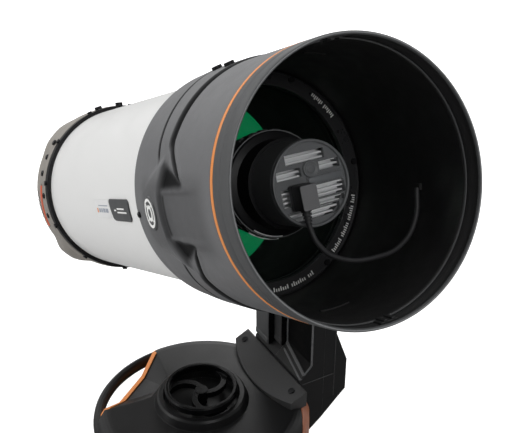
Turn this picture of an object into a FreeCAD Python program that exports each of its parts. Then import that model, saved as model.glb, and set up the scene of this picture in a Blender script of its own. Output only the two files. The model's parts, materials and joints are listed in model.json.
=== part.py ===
import FreeCAD, Part
import math
import os

# Prime-focus astrograph on a single-arm alt-azimuth mount, millimetres.
# Mount frame: origin on the tripod face, +Z up, +X the way the tube looks at rest,
# arm on the +Y side.
# Tube frame: X along the optical axis (forward), Y towards the arm, Z up, origin at
# the altitude pivot. Tube parts are built there and tilted into the mount frame.

V = FreeCAD.Vector

# --- placement -----------------------------------------------------------------
PIVOT_Z = 385.0
TUBE_Y = -6.5
TUBE_TILT = 24.0

# --- fixed base ----------------------------------------------------------------
PLATE_R = 104.0
PLATE_T = 10.0
TRIPOD_PCD = 90.0
TRIPOD_HOLES = 3
TRIPOD_HOLE_R = 4.25
TRIPOD_BORE_R = 10.0
SPINDLE_R = 15.0
SPINDLE_TOP = 75.0
CLUTCH_BORE_R = 5.0

# --- gears ---------------------------------------------------------------------
AZ_MODULE = 1.5
AZ_TEETH = 90
ALT_MODULE = 1.0
ALT_TEETH = 60
PINION_TEETH = 20
PRESSURE_ANGLE = math.radians(20.0)
BACKLASH = 0.14
AZ_GEAR_Z = 12.0
AZ_GEAR_W = 8.0
AZ_PINION_DIR = 148.0
AZ_CENTRES = AZ_MODULE * (AZ_TEETH + PINION_TEETH) / 2
ALT_CENTRES = ALT_MODULE * (ALT_TEETH + PINION_TEETH) / 2
ALT_GEAR_Y = 123.0
ALT_GEAR_W = 7.0

# --- drum ----------------------------------------------------------------------
DRUM_R = 118.0
DRUM_TOP = 120.0
DRUM_BOTTOM = 4.0
DRUM_ROUND = 18.0
WALL = 3.0
FLOOR_Z = 24.0
FLOOR_T = 4.0
HUB_R = 30.0
BEARING_R = 24.0
WELL_R = 42.0
COLLAR_R = 49.0
COLLAR_TOP = 130.0
WELL_FLOOR = 116.0
HANDLE_DIR = -142.0
HANDLE_FLAT = 90.0
HANDLE_FLAT_LOW = 46.0
HANDLE_R = 119.5
HANDLE_BAR = 11.0
HANDLE_Z = 96.0
HANDLE_H = 15.0
SCOOP_NEAR = 53.5
SCOOP_FAR = 96.0
SCOOP_NEAR_Z = 117.5
SCOOP_FAR_Z = 101.5
SCOOP_NEAR_HALF = 5.5
SCOOP_FAR_HALF = 27.0
SCOOP_CHEEK = 30.0
TRIM_T = 1.5
TRIM_REACH = 4.5
FIN_T = 1.2
FIN_FOOT = 26.0
FIN_WAIST = 16.0
FIN_KNEE = 84.0
FIN_TIP = 6.0
FIN_TOP = 102.0
KNOB_TOP = 140.0
KNOB_R = 40.0
BUTTON_DIR = -70.0
BUTTON_Z = 64.0
BUTTON_R = 8.0
PORT_DIR = -35.0
PORT_Z = 56.0
PORT_HALF = 22.0
PORT_RISE = 11.0
TRIM_HALF = 62.0

# --- arm -----------------------------------------------------------------------
ARM_HALF = 50.0
ARM_INNER = 112.0
ARM_OUTER = 142.0
ARM_SPLIT = 127.0
ARM_TOP = PIVOT_Z + ARM_HALF
ARM_ROOT_Z = 63.0
STEP_Z = 141.0
ARM_FOOT_Y = 96.0
ARM_ROOT_HALF = 42.0
ARM_SECTION = [
    (ARM_FOOT_Y, 100.0), (ARM_FOOT_Y, STEP_Z), (ARM_INNER, STEP_Z + ARM_INNER - ARM_FOOT_Y),
    (ARM_INNER, ARM_TOP + 5),
    (ARM_OUTER, ARM_TOP + 5), (ARM_OUTER, 190.0), (157.0, 150.0), (157.0, 108.0),
    (148.0, 100.0), (125.0, 78.0), (106.0, ARM_ROOT_Z), (ARM_FOOT_Y, ARM_ROOT_Z),
]
FRAME_Y0 = 115.0
FRAME_Y1 = 121.0
FRAME_HALF = 36.0
BRIDGE_Y0 = 131.5
BRIDGE_Y1 = 136.5
RAIL_FACE = 96.5
STRIP_FACE = 104.0
RAIL_TOP = 250.0
RAIL_LOW = 146.0
STRIP_LOW = 152.0
RAIL_X0 = -49.5
STRIP_X0 = -20.0
STRIP_X1 = -4.0
PANEL_LOW = 160.0
PANEL_HIGH = 330.0
PANEL_HALF = 36.0
PANEL_GAP = 0.3
FLANGE_X0 = -68.0
FLANGE_X1 = 64.0
FLANGE_TOE = (62.0, 122.0)
FLANGE_HEEL = (94.5, 137.5)
FLANGE_ARC_R = 157.0
FLANGE_ARC_Y = 220.0
FLANGE_SCREW_X = (-57.0, 50.0)
FLANGE_SCREW_Y = 85.0
FLANGE_SCREW_DEPTH = 7.9
SHAFT_R = 12.0
ALT_BEARING_R = 19.0
FRAME_HEAD_R = 44.0
SHAFT_CLUTCH_R = 6.0
ALT_KNOB_R = 24.0
ALT_KNOB_Y0 = 145.0
ALT_KNOB_Y1 = 160.0

# --- optical tube --------------------------------------------------------------
TUBE_R = 88.0
TUBE_WALL = 2.0
TUBE_REAR = -187.0
TUBE_FRONT = 142.0
HOUSING_REAR = 128.5
HOUSING_R0 = 94.2
HOUSING_R1 = 95.1
ACCENT_S = 277.5
ACCENT_W = 4.0
LIP_S = 305.0
RING_S = 160.0
CLEAR_R = 78.0
BAND_S0 = -187.0
BAND_S1 = -176.5
BAND_SCREW_S = -181.8
SCREW_HEAD_R = 2.6
SCREW_SHANK_R = 1.5
THUMB_R = 4.0
CELL_REAR = -234.0
RING_SCREW_R = 86.6
BADGE_S = 168.5
BADGE_Y = 95.25
BADGE_R = 13.0
LENS_BORE_R = 34.5
LENS_R = 26.9

# --- camera --------------------------------------------------------------------
LOCK_R = 39.3
BODY_R = 33.8
CAP_R = 31.2
CAP_S0 = 205.0
CAP_S1 = 236.0
PLUG_HIGH = 16.0
PLUG_EXIT = 8.0
DRAWER_DIR = 158.0
DRAWER_S = 176.0
DRAWER_T = 5.0

# --- mirror --------------------------------------------------------------------
MIRROR_R = 83.0
MIRROR_FACE = -142.0
MIRROR_T = 16.0
MIRROR_CURVE = 670.0
GUIDE_R = 15.0
FOCUS_Z = -58.0

# --- dovetail and saddle -------------------------------------------------------
BAR_Y0 = 89.5
BAR_Y1 = 101.5
BAR_HALF = 21.5
BAR_NECK = 18.0
BAR_HOOK_Y0 = 94.0
BAR_HOOK_Y1 = 98.5
BAR_REAR = -168.0
BAR_FRONT = 126.0
SADDLE_FACE = 113.5
SADDLE_SCREW_Y = 102.0


# === shape helpers =============================================================
def z_ring(r_out, r_in, z0, z1):
    """Ring about the Z axis; r_in of zero gives a disc."""
    body = Part.makeCylinder(r_out, z1 - z0, V(0, 0, z0))
    if r_in > 0:
        body = body.cut(Part.makeCylinder(r_in, z1 - z0 + 2, V(0, 0, z0 - 1)))
    return body


def s_ring(r_out, r_in, s0, s1):
    """Ring about the optical axis in the tube frame."""
    body = Part.makeCylinder(r_out, s1 - s0, V(s0, 0, 0), V(1, 0, 0))
    if r_in > 0:
        body = body.cut(Part.makeCylinder(r_in, s1 - s0 + 2, V(s0 - 1, 0, 0), V(1, 0, 0)))
    return body


def pivot_ring(r_out, r_in, y0, y1):
    """Ring about the altitude axis in the mount frame."""
    body = Part.makeCylinder(r_out, y1 - y0, V(0, y0, PIVOT_Z), V(0, 1, 0))
    if r_in > 0:
        bore = Part.makeCylinder(r_in, y1 - y0 + 2, V(0, y0 - 1, PIVOT_Z), V(0, 1, 0))
        body = body.cut(bore)
    return body


def rod(start, direction, radius, length):
    return Part.makeCylinder(radius, length, V(*start), V(*direction))


def box(x0, x1, y0, y1, z0, z1):
    return Part.makeBox(x1 - x0, y1 - y0, z1 - z0, V(x0, y0, z0))


def face_of(points):
    return Part.Face(Part.makePolygon(points + [points[0]]))


def z_revolve(profile):
    """Solid turned about Z from (radius, height) points."""
    return face_of([V(r, 0, z) for r, z in profile]).revolve(V(0, 0, 0), V(0, 0, 1), 360)


def s_revolve(profile):
    """Solid turned about the optical axis from (position, radius) points."""
    return face_of([V(s, 0, r) for s, r in profile]).revolve(V(0, 0, 0), V(1, 0, 0), 360)


def yz_prism(section, x0, x1):
    return face_of([V(x0, y, z) for y, z in section]).extrude(V(x1 - x0, 0, 0))


def turned(shape, centre, axis, angle):
    copy = shape.copy()
    copy.rotate(V(*centre), V(*axis), angle)
    return copy


def around_z(shape, angle):
    return turned(shape, (0, 0, 0), (0, 0, 1), angle)


def around_tube(shape, angle):
    """Turn about the optical axis; zero points at the arm, ninety points up."""
    return turned(shape, (0, 0, 0), (1, 0, 0), angle)


def in_mount(shape):
    """Tilt a tube-frame shape into the mount frame."""
    copy = turned(shape, (0, 0, 0), (0, 1, 0), -TUBE_TILT)
    copy.translate(V(0, TUBE_Y, PIVOT_Z))
    return copy


def group(shapes):
    return Part.makeCompound(shapes)


def joined(shapes):
    return shapes[0].multiFuse(shapes[1:]).removeSplitter()


def spur_gear(teeth, module, width, bore, phase):
    """Involute gear on Z from zero to width, one tooth centred at the phase angle."""
    pitch_r = module * teeth / 2
    base_r = pitch_r * math.cos(PRESSURE_ANGLE)
    tip_r = pitch_r + 0.9 * module
    root_r = pitch_r - 1.25 * module
    half_pitch = (math.pi * module / 2 - BACKLASH) / 2 / pitch_r
    roll = math.tan(PRESSURE_ANGLE) - PRESSURE_ANGLE
    flank = []
    if root_r < base_r:
        flank.append((root_r, half_pitch + roll))
    start_r = max(base_r, root_r)
    steps = 5
    for i in range(steps + 1):
        r = start_r + (tip_r - start_r) * i / steps
        a = math.acos(min(1.0, base_r / r))
        flank.append((r, half_pitch + roll - math.tan(a) + a))
    points = []
    for k in range(teeth):
        centre = math.radians(phase) + 2 * math.pi * k / teeth
        for r, a in flank:
            points.append(V(r * math.cos(centre - a), r * math.sin(centre - a), 0))
        for r, a in reversed(flank):
            points.append(V(r * math.cos(centre + a), r * math.sin(centre + a), 0))
    body = face_of(points).extrude(V(0, 0, width))
    if bore > 0:
        body = body.cut(Part.makeCylinder(bore, width + 2, V(0, 0, -1)))
    return body


def onto_pivot(gear, y_front, down):
    """Stand a Z gear on the altitude axis direction, back face at y_front."""
    gear = turned(gear, (0, 0, 0), (1, 0, 0), 90)
    gear.translate(V(0, y_front, PIVOT_Z - down))
    return gear


# === fixed base ================================================================
def base_plate():
    plate = z_revolve([
        (TRIPOD_BORE_R, 0), (PLATE_R - 2, 0), (PLATE_R, 2), (PLATE_R, PLATE_T),
        (62, PLATE_T), (62, AZ_GEAR_Z), (40, AZ_GEAR_Z), (40, PLATE_T),
        (TRIPOD_BORE_R, PLATE_T),
    ])
    for k in range(TRIPOD_HOLES):
        hole = rod((TRIPOD_PCD / 2, 0, -1), (0, 0, 1), TRIPOD_HOLE_R, PLATE_T + 4)
        plate = plate.cut(around_z(hole, 360.0 / TRIPOD_HOLES * k))
    return plate


def azimuth_spindle():
    return z_revolve([
        (0, PLATE_T), (34, PLATE_T), (34, 15), (SPINDLE_R, 15), (SPINDLE_R, SPINDLE_TOP - 1),
        (SPINDLE_R - 1, SPINDLE_TOP), (CLUTCH_BORE_R, SPINDLE_TOP), (CLUTCH_BORE_R, 50), (0, 48),
    ])


def azimuth_ring_gear():
    gear = spur_gear(AZ_TEETH, AZ_MODULE, AZ_GEAR_W, 54, 0)
    gear.translate(V(0, 0, AZ_GEAR_Z))
    return gear


# === drum ======================================================================
def drum_profile(radius, top, bottom, rounding):
    """Half section of the drum with its rounded shoulder."""
    profile = [(0, bottom), (radius, bottom)]
    steps = 8
    for i in range(steps + 1):
        a = math.radians(90.0 * i / steps)
        profile.append((radius - rounding + rounding * math.cos(a),
                        top - rounding + rounding * math.sin(a)))
    profile.append((0, top))
    return profile


def drum_outer(grow):
    return z_revolve(drum_profile(DRUM_R + grow, DRUM_TOP + grow, DRUM_BOTTOM, DRUM_ROUND))


def hand_hold(distance, low):
    """Everything beyond the flat behind the handle."""
    cut = box(distance, 160, -160, 160, low, 160)
    return around_z(cut, HANDLE_DIR)


def scoop():
    """Sloping finger scoop from the collar down to the flat, with slanted cheeks."""
    above = DRUM_TOP + 1
    ends = []
    near = (SCOOP_NEAR, SCOOP_NEAR_Z, SCOOP_NEAR_HALF)
    far = (SCOOP_FAR, SCOOP_FAR_Z, SCOOP_FAR_HALF)
    for along, floor_z, floor_half in (near, far):
        top_half = along - SCOOP_CHEEK
        ends.append(Part.makePolygon([
            V(along, -top_half, above), V(along, top_half, above),
            V(along, floor_half, floor_z), V(along, -floor_half, floor_z),
            V(along, -top_half, above),
        ]))
    return around_z(Part.makeLoft(ends, True, True), HANDLE_DIR)


def lowered(shape, drop):
    moved = shape.copy()
    moved.translate(V(0, 0, -drop))
    return moved


def handle_loop():
    """Round bar that bridges the flat, following the rim of the drum."""
    half = HANDLE_BAR / 2
    centre_r = HANDLE_R - half
    section = []
    for k in range(12):
        a = math.radians(30.0 * k)
        section.append((centre_r + half * math.cos(a),
                        HANDLE_Z + HANDLE_H / 2 + HANDLE_H / 2 * math.sin(a)))
    loop = z_revolve(section)
    keep = around_z(box(60, 140, -84, 84, 80, 120), HANDLE_DIR)
    return loop.common(keep)


def drum_shell():
    shell = drum_outer(0)
    shell = shell.fuse(z_revolve([
        (0, DRUM_TOP - 1), (COLLAR_R + 4, DRUM_TOP - 1), (COLLAR_R + 3, DRUM_TOP),
        (COLLAR_R, COLLAR_TOP - 2), (COLLAR_R - 2, COLLAR_TOP), (0, COLLAR_TOP),
    ]))
    shell = shell.cut(hand_hold(HANDLE_FLAT, HANDLE_FLAT_LOW)).cut(scoop())
    hollow = z_revolve(drum_profile(DRUM_R - WALL, DRUM_TOP - WALL, DRUM_BOTTOM - 1, DRUM_ROUND - WALL))
    hollow = hollow.cut(hand_hold(HANDLE_FLAT - WALL, HANDLE_FLAT_LOW - WALL)).cut(lowered(scoop(), WALL))
    well_wall = z_ring(COLLAR_R, 0, WELL_FLOOR - WALL, DRUM_TOP)
    hollow = hollow.cut(well_wall)
    shell = shell.cut(hollow)
    shell = shell.cut(z_ring(WELL_R, 0, WELL_FLOOR, COLLAR_TOP + 1))
    shell = shell.cut(z_ring(CLUTCH_BORE_R + 1, 0, WELL_FLOOR - 2 * WALL, WELL_FLOOR + 1))
    shell = shell.cut(box(-ARM_ROOT_HALF, ARM_ROOT_HALF, ARM_FOOT_Y, 122, 76, DRUM_TOP + 1))
    shell = shell.cut(around_z(rod((DRUM_R - 12, 0, BUTTON_Z), (1, 0, 0), BUTTON_R + 0.3, 20), BUTTON_DIR))
    port = box(DRUM_R - 20, DRUM_R + 5, -PORT_HALF, PORT_HALF, PORT_Z - PORT_RISE, PORT_Z + PORT_RISE)
    shell = shell.cut(around_z(port, PORT_DIR))
    return shell.fuse(handle_loop()).removeSplitter()


def drum_floor():
    floor = z_ring(DRUM_R - WALL - 0.1, HUB_R - 1, FLOOR_Z, FLOOR_Z + FLOOR_T)
    hub = z_ring(HUB_R, BEARING_R, 18, 62)
    pinion_hole = rod((AZ_CENTRES, 0, FLOOR_Z - 1), (0, 0, 1), 6, FLOOR_T + 2)
    return floor.fuse(hub).cut(around_z(pinion_hole, AZ_PINION_DIR)).removeSplitter()


def azimuth_bearings():
    races = []
    for z in (20.0, 50.0):
        races.append(z_ring(BEARING_R, SPINDLE_R + 0.05, z, z + 9))
    return group(races)


def azimuth_motor():
    gearbox = z_ring(19, 0, FLOOR_Z + FLOOR_T, 46)
    can = z_ring(15, 0, 46, 78)
    motor = gearbox.fuse(can).cut(z_ring(3.1, 0, FLOOR_Z, 41))
    motor.translate(V(AZ_CENTRES, 0, 0))
    return around_z(motor, AZ_PINION_DIR)


def azimuth_pinion():
    phase = 180 + 180.0 / PINION_TEETH
    gear = spur_gear(PINION_TEETH, AZ_MODULE, AZ_GEAR_W, 0, phase)
    gear.translate(V(0, 0, AZ_GEAR_Z))
    pinion = gear.fuse(z_ring(3, 0, AZ_GEAR_Z + AZ_GEAR_W, 40))
    pinion.translate(V(AZ_CENTRES, 0, 0))
    return around_z(pinion, AZ_PINION_DIR)


def azimuth_knob():
    """Grip ring with three swept spokes on a clutch stem."""
    rim = z_revolve([
        (KNOB_R - 5, 131), (KNOB_R - 1, 131), (KNOB_R, 133), (KNOB_R, KNOB_TOP - 1.5),
        (KNOB_R - 1.5, KNOB_TOP), (KNOB_R - 4, KNOB_TOP), (KNOB_R - 5, KNOB_TOP - 1),
    ])
    hub = z_ring(7, 0, 122, 134)
    stem = z_ring(CLUTCH_BORE_R - 0.1, 0, SPINDLE_TOP - 15, 123)
    spokes = []
    for k in range(3):
        arc = z_ring(23.5, 17.5, 126, 133)
        arc.translate(V(18.5, 0, 0))
        arc = arc.common(box(-6, 60, -60, 2, 120, 140)).common(z_ring(KNOB_R - 3, 0, 120, 140))
        spokes.append(around_z(arc, 120.0 * k + 20))
    return joined([rim, hub, stem] + spokes)


def battery_pack():
    pack = box(40, 84, -48, 48, FLOOR_Z + FLOOR_T, 74)
    pack = pack.cut(box(58, 66, -49, 49, 70, 75))
    return pack


def control_board():
    board = box(2, 72, -84, -14, 84, 85.6)
    chips = [box(12, 30, -70, -50, 85.6, 88), box(40, 62, -40, -24, 85.6, 90)]
    posts = [rod((x, y, 74), (0, 0, 1), 3, 10) for x, y in ((45, -20), (60, -42))]
    return joined([board] + chips + posts)


def port_panel():
    """Curved insert with a power jack, a data socket and a network socket."""
    gap = 0.2
    rise = PORT_RISE - gap
    half = PORT_HALF - gap
    panel = z_ring(DRUM_R - 0.6, DRUM_R - WALL, PORT_Z - rise, PORT_Z + rise)
    panel = panel.common(box(DRUM_R - 20, DRUM_R + 5, -half, half, 0, 100))
    jack = rod((DRUM_R - 14, -13, PORT_Z), (1, 0, 0), 4, 20)
    data = box(DRUM_R - 14, DRUM_R + 5, -4.5, 4.5, PORT_Z - 2, PORT_Z + 2)
    network = box(DRUM_R - 14, DRUM_R + 5, 8, 19, PORT_Z - 5, PORT_Z + 5)
    return around_z(panel.cut(jack).cut(data).cut(network), PORT_DIR)


def power_button():
    cap = rod((DRUM_R - 6, 0, BUTTON_Z), (1, 0, 0), BUTTON_R, 7.5)
    stem = rod((DRUM_R - 12, 0, BUTTON_Z), (1, 0, 0), 3, 6.5)
    return around_z(cap.fuse(stem).removeSplitter(), BUTTON_DIR)


def mount_trim():
    """Orange edging: cap on the edge of the hand-hold and a fin beside the arm root."""
    edge = box(HANDLE_FLAT - TRIM_REACH, HANDLE_FLAT + TRIM_T, -TRIM_HALF, TRIM_HALF, 98, DRUM_TOP)
    edge = around_z(edge, HANDLE_DIR)
    cap = scoop().cut(lowered(scoop(), -TRIM_T)).common(edge)
    face = box(HANDLE_FLAT, HANDLE_FLAT + TRIM_T, -TRIM_HALF, TRIM_HALF, 94, DRUM_TOP)
    face = around_z(face, HANDLE_DIR).cut(scoop())
    strip = cap.fuse(face).common(drum_outer(0)).cut(handle_loop()).removeSplitter()
    fin = z_ring(DRUM_R + FIN_T, DRUM_R, ARM_ROOT_Z, FIN_TOP)
    taper = [(ARM_HALF + 1, ARM_ROOT_Z), (ARM_HALF + FIN_FOOT, ARM_ROOT_Z), (ARM_HALF + FIN_WAIST, FIN_KNEE),
             (ARM_HALF + FIN_TIP, FIN_TOP), (ARM_HALF + 1, FIN_TOP)]
    outline = Part.Face(Part.makePolygon([V(x, 60, z) for x, z in taper + taper[:1]]))
    fin = fin.common(outline.extrude(V(0, 70, 0)))
    return group([strip, fin])


# === arm =======================================================================
def arm_outline(half, top_r, y0, y1):
    """Straight sides with a round head on the altitude axis."""
    column = box(-half, half, y0, y1, 0, PIVOT_Z)
    head = Part.makeCylinder(top_r, y1 - y0, V(0, y0, PIVOT_Z), V(0, 1, 0))
    return column.fuse(head)


def inset_section(inset):
    """Arm section shrunk by the wall thickness."""
    wire = Part.makePolygon([V(0, y, z) for y, z in ARM_SECTION + [ARM_SECTION[0]]])
    shrunk = Part.Face(wire).makeOffset2D(-inset, join=2)
    points = [(v.Point.y, v.Point.z) for v in shrunk.OuterWire.OrderedVertexes]
    return points


def arm_shell():
    outer = yz_prism(ARM_SECTION, -ARM_HALF, ARM_HALF)
    outer = outer.common(arm_outline(ARM_HALF, ARM_HALF, 80, 170))
    inner_half = ARM_HALF - WALL
    hollow = yz_prism(inset_section(WALL), -inner_half, inner_half)
    hollow = hollow.common(arm_outline(inner_half, inner_half, 80, 170))
    shell = outer.cut(hollow)
    shell = shell.cut(drum_outer(0.2))
    shell = shell.cut(pivot_ring(SHAFT_R + 2, 0, 100, 160))
    return shell.cut(box(-ARM_ROOT_HALF, ARM_ROOT_HALF, 90, 122, 70, 124))


def panel_section(low, high, proud):
    """Thin sheet on the upright inner face of the arm."""
    return [(ARM_INNER - proud, low), (ARM_INNER - proud, high), (ARM_INNER + 1, high), (ARM_INNER + 1, low)]


def pilaster(face, low, x0, x1):
    """Upright rib on the arm, following the step at its foot and leaning back at its head."""
    gap = 0.15
    back = ARM_INNER - gap
    step_low = ARM_FOOT_Y + low - STEP_Z - gap
    section = [
        (face, low), (face, RAIL_TOP), (back, RAIL_TOP + 2 * (back - face)),
        (back, STEP_Z + ARM_INNER - ARM_FOOT_Y), (step_low, low),
    ]
    return yz_prism(section, x0, x1)


def arm_shell_inner(shell):
    half = shell.common(box(-80, 80, 60, ARM_SPLIT, 0, 480))
    slot_half = PANEL_HALF + PANEL_GAP
    return half.cut(yz_prism(panel_section(PANEL_LOW, PANEL_HIGH, 2), -slot_half, slot_half))


def arm_panel():
    """Facing sheet with a tall rail and a lower strip beside it."""
    section = panel_section(PANEL_LOW + PANEL_GAP, PANEL_HIGH - PANEL_GAP, 0.4)
    sheet = yz_prism(section, -PANEL_HALF, PANEL_HALF)
    rail = pilaster(RAIL_FACE, RAIL_LOW, RAIL_X0, STRIP_X0)
    strip = pilaster(STRIP_FACE, STRIP_LOW, STRIP_X0, STRIP_X1)
    return joined([sheet, rail, strip])


def arm_shell_outer(shell):
    return shell.common(box(-80, 80, ARM_SPLIT, 180, 0, 480))


def arm_flange():
    """Sloping skirt at the foot of the arm, with an arc-shaped toe on the drum."""
    section = [
        (FLANGE_TOE[0], DRUM_TOP - 2), FLANGE_TOE, FLANGE_HEEL, (ARM_FOOT_Y, FLANGE_HEEL[1]),
        (ARM_FOOT_Y, DRUM_TOP - 2),
    ]
    flange = yz_prism(section, FLANGE_X0, FLANGE_X1)
    flange = flange.common(Part.makeCylinder(FLANGE_ARC_R, 60, V(0, FLANGE_ARC_Y, 100)))
    flange = flange.cut(box(-ARM_HALF, ARM_HALF, 95.9, 97, 100, 150))
    for x in FLANGE_SCREW_X:
        flange = flange.cut(flange_screw_at(x, 0.05))
    return flange.cut(drum_outer(0))


def flange_screw_at(x, grow):
    """Countersunk screw square to the flange slope."""
    run = FLANGE_HEEL[0] - FLANGE_TOE[0]
    rise = FLANGE_HEEL[1] - FLANGE_TOE[1]
    normal = V(0, -rise, run).normalize()
    seat = V(x, FLANGE_SCREW_Y, FLANGE_TOE[1] + (FLANGE_SCREW_Y - FLANGE_TOE[0]) * rise / run)
    back = seat - normal * FLANGE_SCREW_DEPTH
    head = rod(seat, normal, 3.6 + grow, 1.2 + 2 * grow)
    return head.fuse(rod(back, normal, 2 + grow, FLANGE_SCREW_DEPTH + 0.1)).removeSplitter()


def flange_screws():
    return group([flange_screw_at(x, 0) for x in FLANGE_SCREW_X])


def arm_frame():
    """Structural plate from the drum floor to the altitude bearings."""
    plate = box(-FRAME_HALF, FRAME_HALF, FRAME_Y0, FRAME_Y1, 80, PIVOT_Z)
    head = pivot_ring(FRAME_HEAD_R, 0, FRAME_Y0, FRAME_Y1)
    foot = box(-FRAME_HALF, FRAME_HALF, 60, FRAME_Y1, 80, 86)
    ribs = []
    for x in (-FRAME_HALF, FRAME_HALF - 5):
        ribs.append(box(x, x + 5, 62, 103, FLOOR_Z + FLOOR_T, 80))
    bridge = pivot_ring(FRAME_HEAD_R, 0, BRIDGE_Y0, BRIDGE_Y1).common(
        box(-50, 50, BRIDGE_Y0, BRIDGE_Y1, PIVOT_Z - 22, PIVOT_Z + 50))
    posts = []
    for x, dz in ((-27, 28), (27, 28), (-37, -17), (37, -17)):
        posts.append(rod((x, FRAME_Y1 - 1, PIVOT_Z + dz), (0, 1, 0), 2.8, BRIDGE_Y0 - FRAME_Y1 + 2))
    frame = joined([plate, head, foot, bridge] + ribs + posts)
    frame = frame.cut(pivot_ring(ALT_BEARING_R, 0, FRAME_Y0 - 1, BRIDGE_Y1 + 1))
    window = box(-22, 22, FRAME_Y0 - 1, FRAME_Y1 + 1, 190, 262)
    return frame.cut(window)


def altitude_bearings():
    return group([
        pivot_ring(ALT_BEARING_R, SHAFT_R + 0.05, FRAME_Y0, FRAME_Y1),
        pivot_ring(ALT_BEARING_R, SHAFT_R + 0.05, BRIDGE_Y0, BRIDGE_Y1),
    ])


def altitude_motor():
    axis_z = PIVOT_Z - ALT_CENTRES
    gearbox = box(-13, 13, BRIDGE_Y0, 138, axis_z - 16, axis_z + 13)
    can = rod((0, 131, axis_z - 76), (0, 0, 1), 7.4, 60)
    bore = rod((0, 120, axis_z), (0, 1, 0), 2.6, 16)
    lug = box(-13, 13, FRAME_Y1, BRIDGE_Y0 + 1, axis_z - 30, axis_z - 18)
    return joined([gearbox, can, lug]).cut(bore)


def altitude_pinion():
    phase = 90 + 180.0 / PINION_TEETH
    gear = spur_gear(PINION_TEETH, ALT_MODULE, ALT_GEAR_W, 0, phase)
    gear = onto_pivot(gear, ALT_GEAR_Y + ALT_GEAR_W, ALT_CENTRES)
    stem = rod((0, ALT_GEAR_Y, PIVOT_Z - ALT_CENTRES), (0, 1, 0), 2.5, 12)
    return gear.fuse(stem).removeSplitter()


def altitude_knob():
    body = pivot_ring(ALT_KNOB_R, 0, ALT_KNOB_Y0, ALT_KNOB_Y1)
    for k in range(8):
        scallop = rod((ALT_KNOB_R + 3.5, ALT_KNOB_Y0 - 1, 0), (0, 1, 0), 6, 18)
        scallop = turned(scallop, (0, 0, 0), (0, 1, 0), 45.0 * k)
        scallop.translate(V(0, 0, PIVOT_Z))
        body = body.cut(scallop)
    stem = pivot_ring(SHAFT_CLUTCH_R, 0, 120, ALT_KNOB_Y0 + 1)
    collar = pivot_ring(13, 0, ARM_OUTER - WALL + 1.5, ALT_KNOB_Y0 + 0.5)
    return joined([body, stem, collar])


# === altitude axis and saddle ==================================================
def altitude_shaft():
    flange = pivot_ring(34, 0, 107, 111)
    shaft = pivot_ring(SHAFT_R, 0, 110, 139)
    gear = onto_pivot(spur_gear(ALT_TEETH, ALT_MODULE, ALT_GEAR_W, 0, 0), ALT_GEAR_Y + ALT_GEAR_W, 0)
    body = joined([flange, shaft, gear])
    return body.cut(pivot_ring(SHAFT_CLUTCH_R + 0.1, 0, 118, 141))


def jaw_section(near, far):
    """Hooked jaw that grips one flank of the dovetail; (height, depth) points."""
    back = BAR_Y1 + 0.4
    return [(near + BAR_NECK - BAR_HALF, BAR_HOOK_Y0), (near, BAR_HOOK_Y1), (near, back), (far, back),
            (far, BAR_HOOK_Y0)]


def z_prism_along_s(section, s0, s1):
    return face_of([V(s0, y, z) for z, y in section]).extrude(V(s1 - s0, 0, 0))


def saddle_plate():
    plate = box(-55, 55, 102, SADDLE_FACE, -42, 47)
    fixed = z_prism_along_s(jaw_section(BAR_HALF + 0.1, 38), -50, 50)
    fixed = fixed.mirror(V(0, 0, 0), V(0, 0, 1))
    fixed = fixed.fuse(box(-50, 50, 101, 103, -38, -24))
    lug = box(-14, 14, 94, 103, 42.5, 47)
    plate = joined([plate, fixed, lug])
    return in_mount(plate.cut(rod((0, SADDLE_SCREW_Y, 24), (0, 0, 1), 4.2, 30)))


def saddle_jaw():
    jaw = z_prism_along_s(jaw_section(BAR_HALF + 0.1, 36), -22, 22)
    jaw = jaw.cut(rod((0, SADDLE_SCREW_Y, 30), (0, 0, 1), 4.1, 10))
    return in_mount(jaw)


def saddle_knob():
    stem = rod((0, SADDLE_SCREW_Y, 30.2), (0, 0, 1), 4.0, 22)
    head = rod((0, SADDLE_SCREW_Y, 51), (0, 0, 1), 10.5, 14)
    for k in range(6):
        scallop = rod((12.5, 0, 50), (0, 0, 1), 3.5, 16)
        scallop = around_z(scallop, 60.0 * k)
        scallop.translate(V(0, SADDLE_SCREW_Y, 0))
        head = head.cut(scallop)
    return in_mount(head.fuse(stem).removeSplitter())


def dovetail_bar():
    section = [(-BAR_NECK, BAR_Y0), (BAR_NECK, BAR_Y0), (BAR_NECK, BAR_HOOK_Y0), (BAR_HALF, BAR_HOOK_Y1),
               (BAR_HALF, BAR_Y1), (-BAR_HALF, BAR_Y1), (-BAR_HALF, BAR_HOOK_Y1), (-BAR_NECK, BAR_HOOK_Y0)]
    bar = z_prism_along_s(section, BAR_REAR, BAR_FRONT)
    feet = [box(-166, -136, 82, 90, -16, 16), box(94, 124, 82, 90, -16, 16)]
    return in_mount(joined([bar] + feet).cut(s_ring(TUBE_R + 0.02, 0, -200, 140)))


# === optical tube ==============================================================
def tube_body():
    return in_mount(s_ring(TUBE_R, TUBE_R - TUBE_WALL, TUBE_REAR, TUBE_FRONT))


def front_cell():
    """Ring that carries the corrector plate and the housing."""
    return in_mount(s_revolve([
        (130, TUBE_R + 0.02), (TUBE_FRONT, TUBE_R + 0.02), (TUBE_FRONT, CLEAR_R),
        (150.4, CLEAR_R), (150.4, 83.2), (155.2, 83.2), (155.2, 91.0), (130, 91.0),
    ]))


def housing_inner_r(s):
    """The housing opens slightly towards the lip."""
    return 91.1 + (s - HOUSING_REAR) * 2.5 / (LIP_S - HOUSING_REAR)


def housing_outer_r(s):
    return HOUSING_R0 + (s - HOUSING_REAR) * (HOUSING_R1 - HOUSING_R0) / (LIP_S - HOUSING_REAR)


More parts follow.
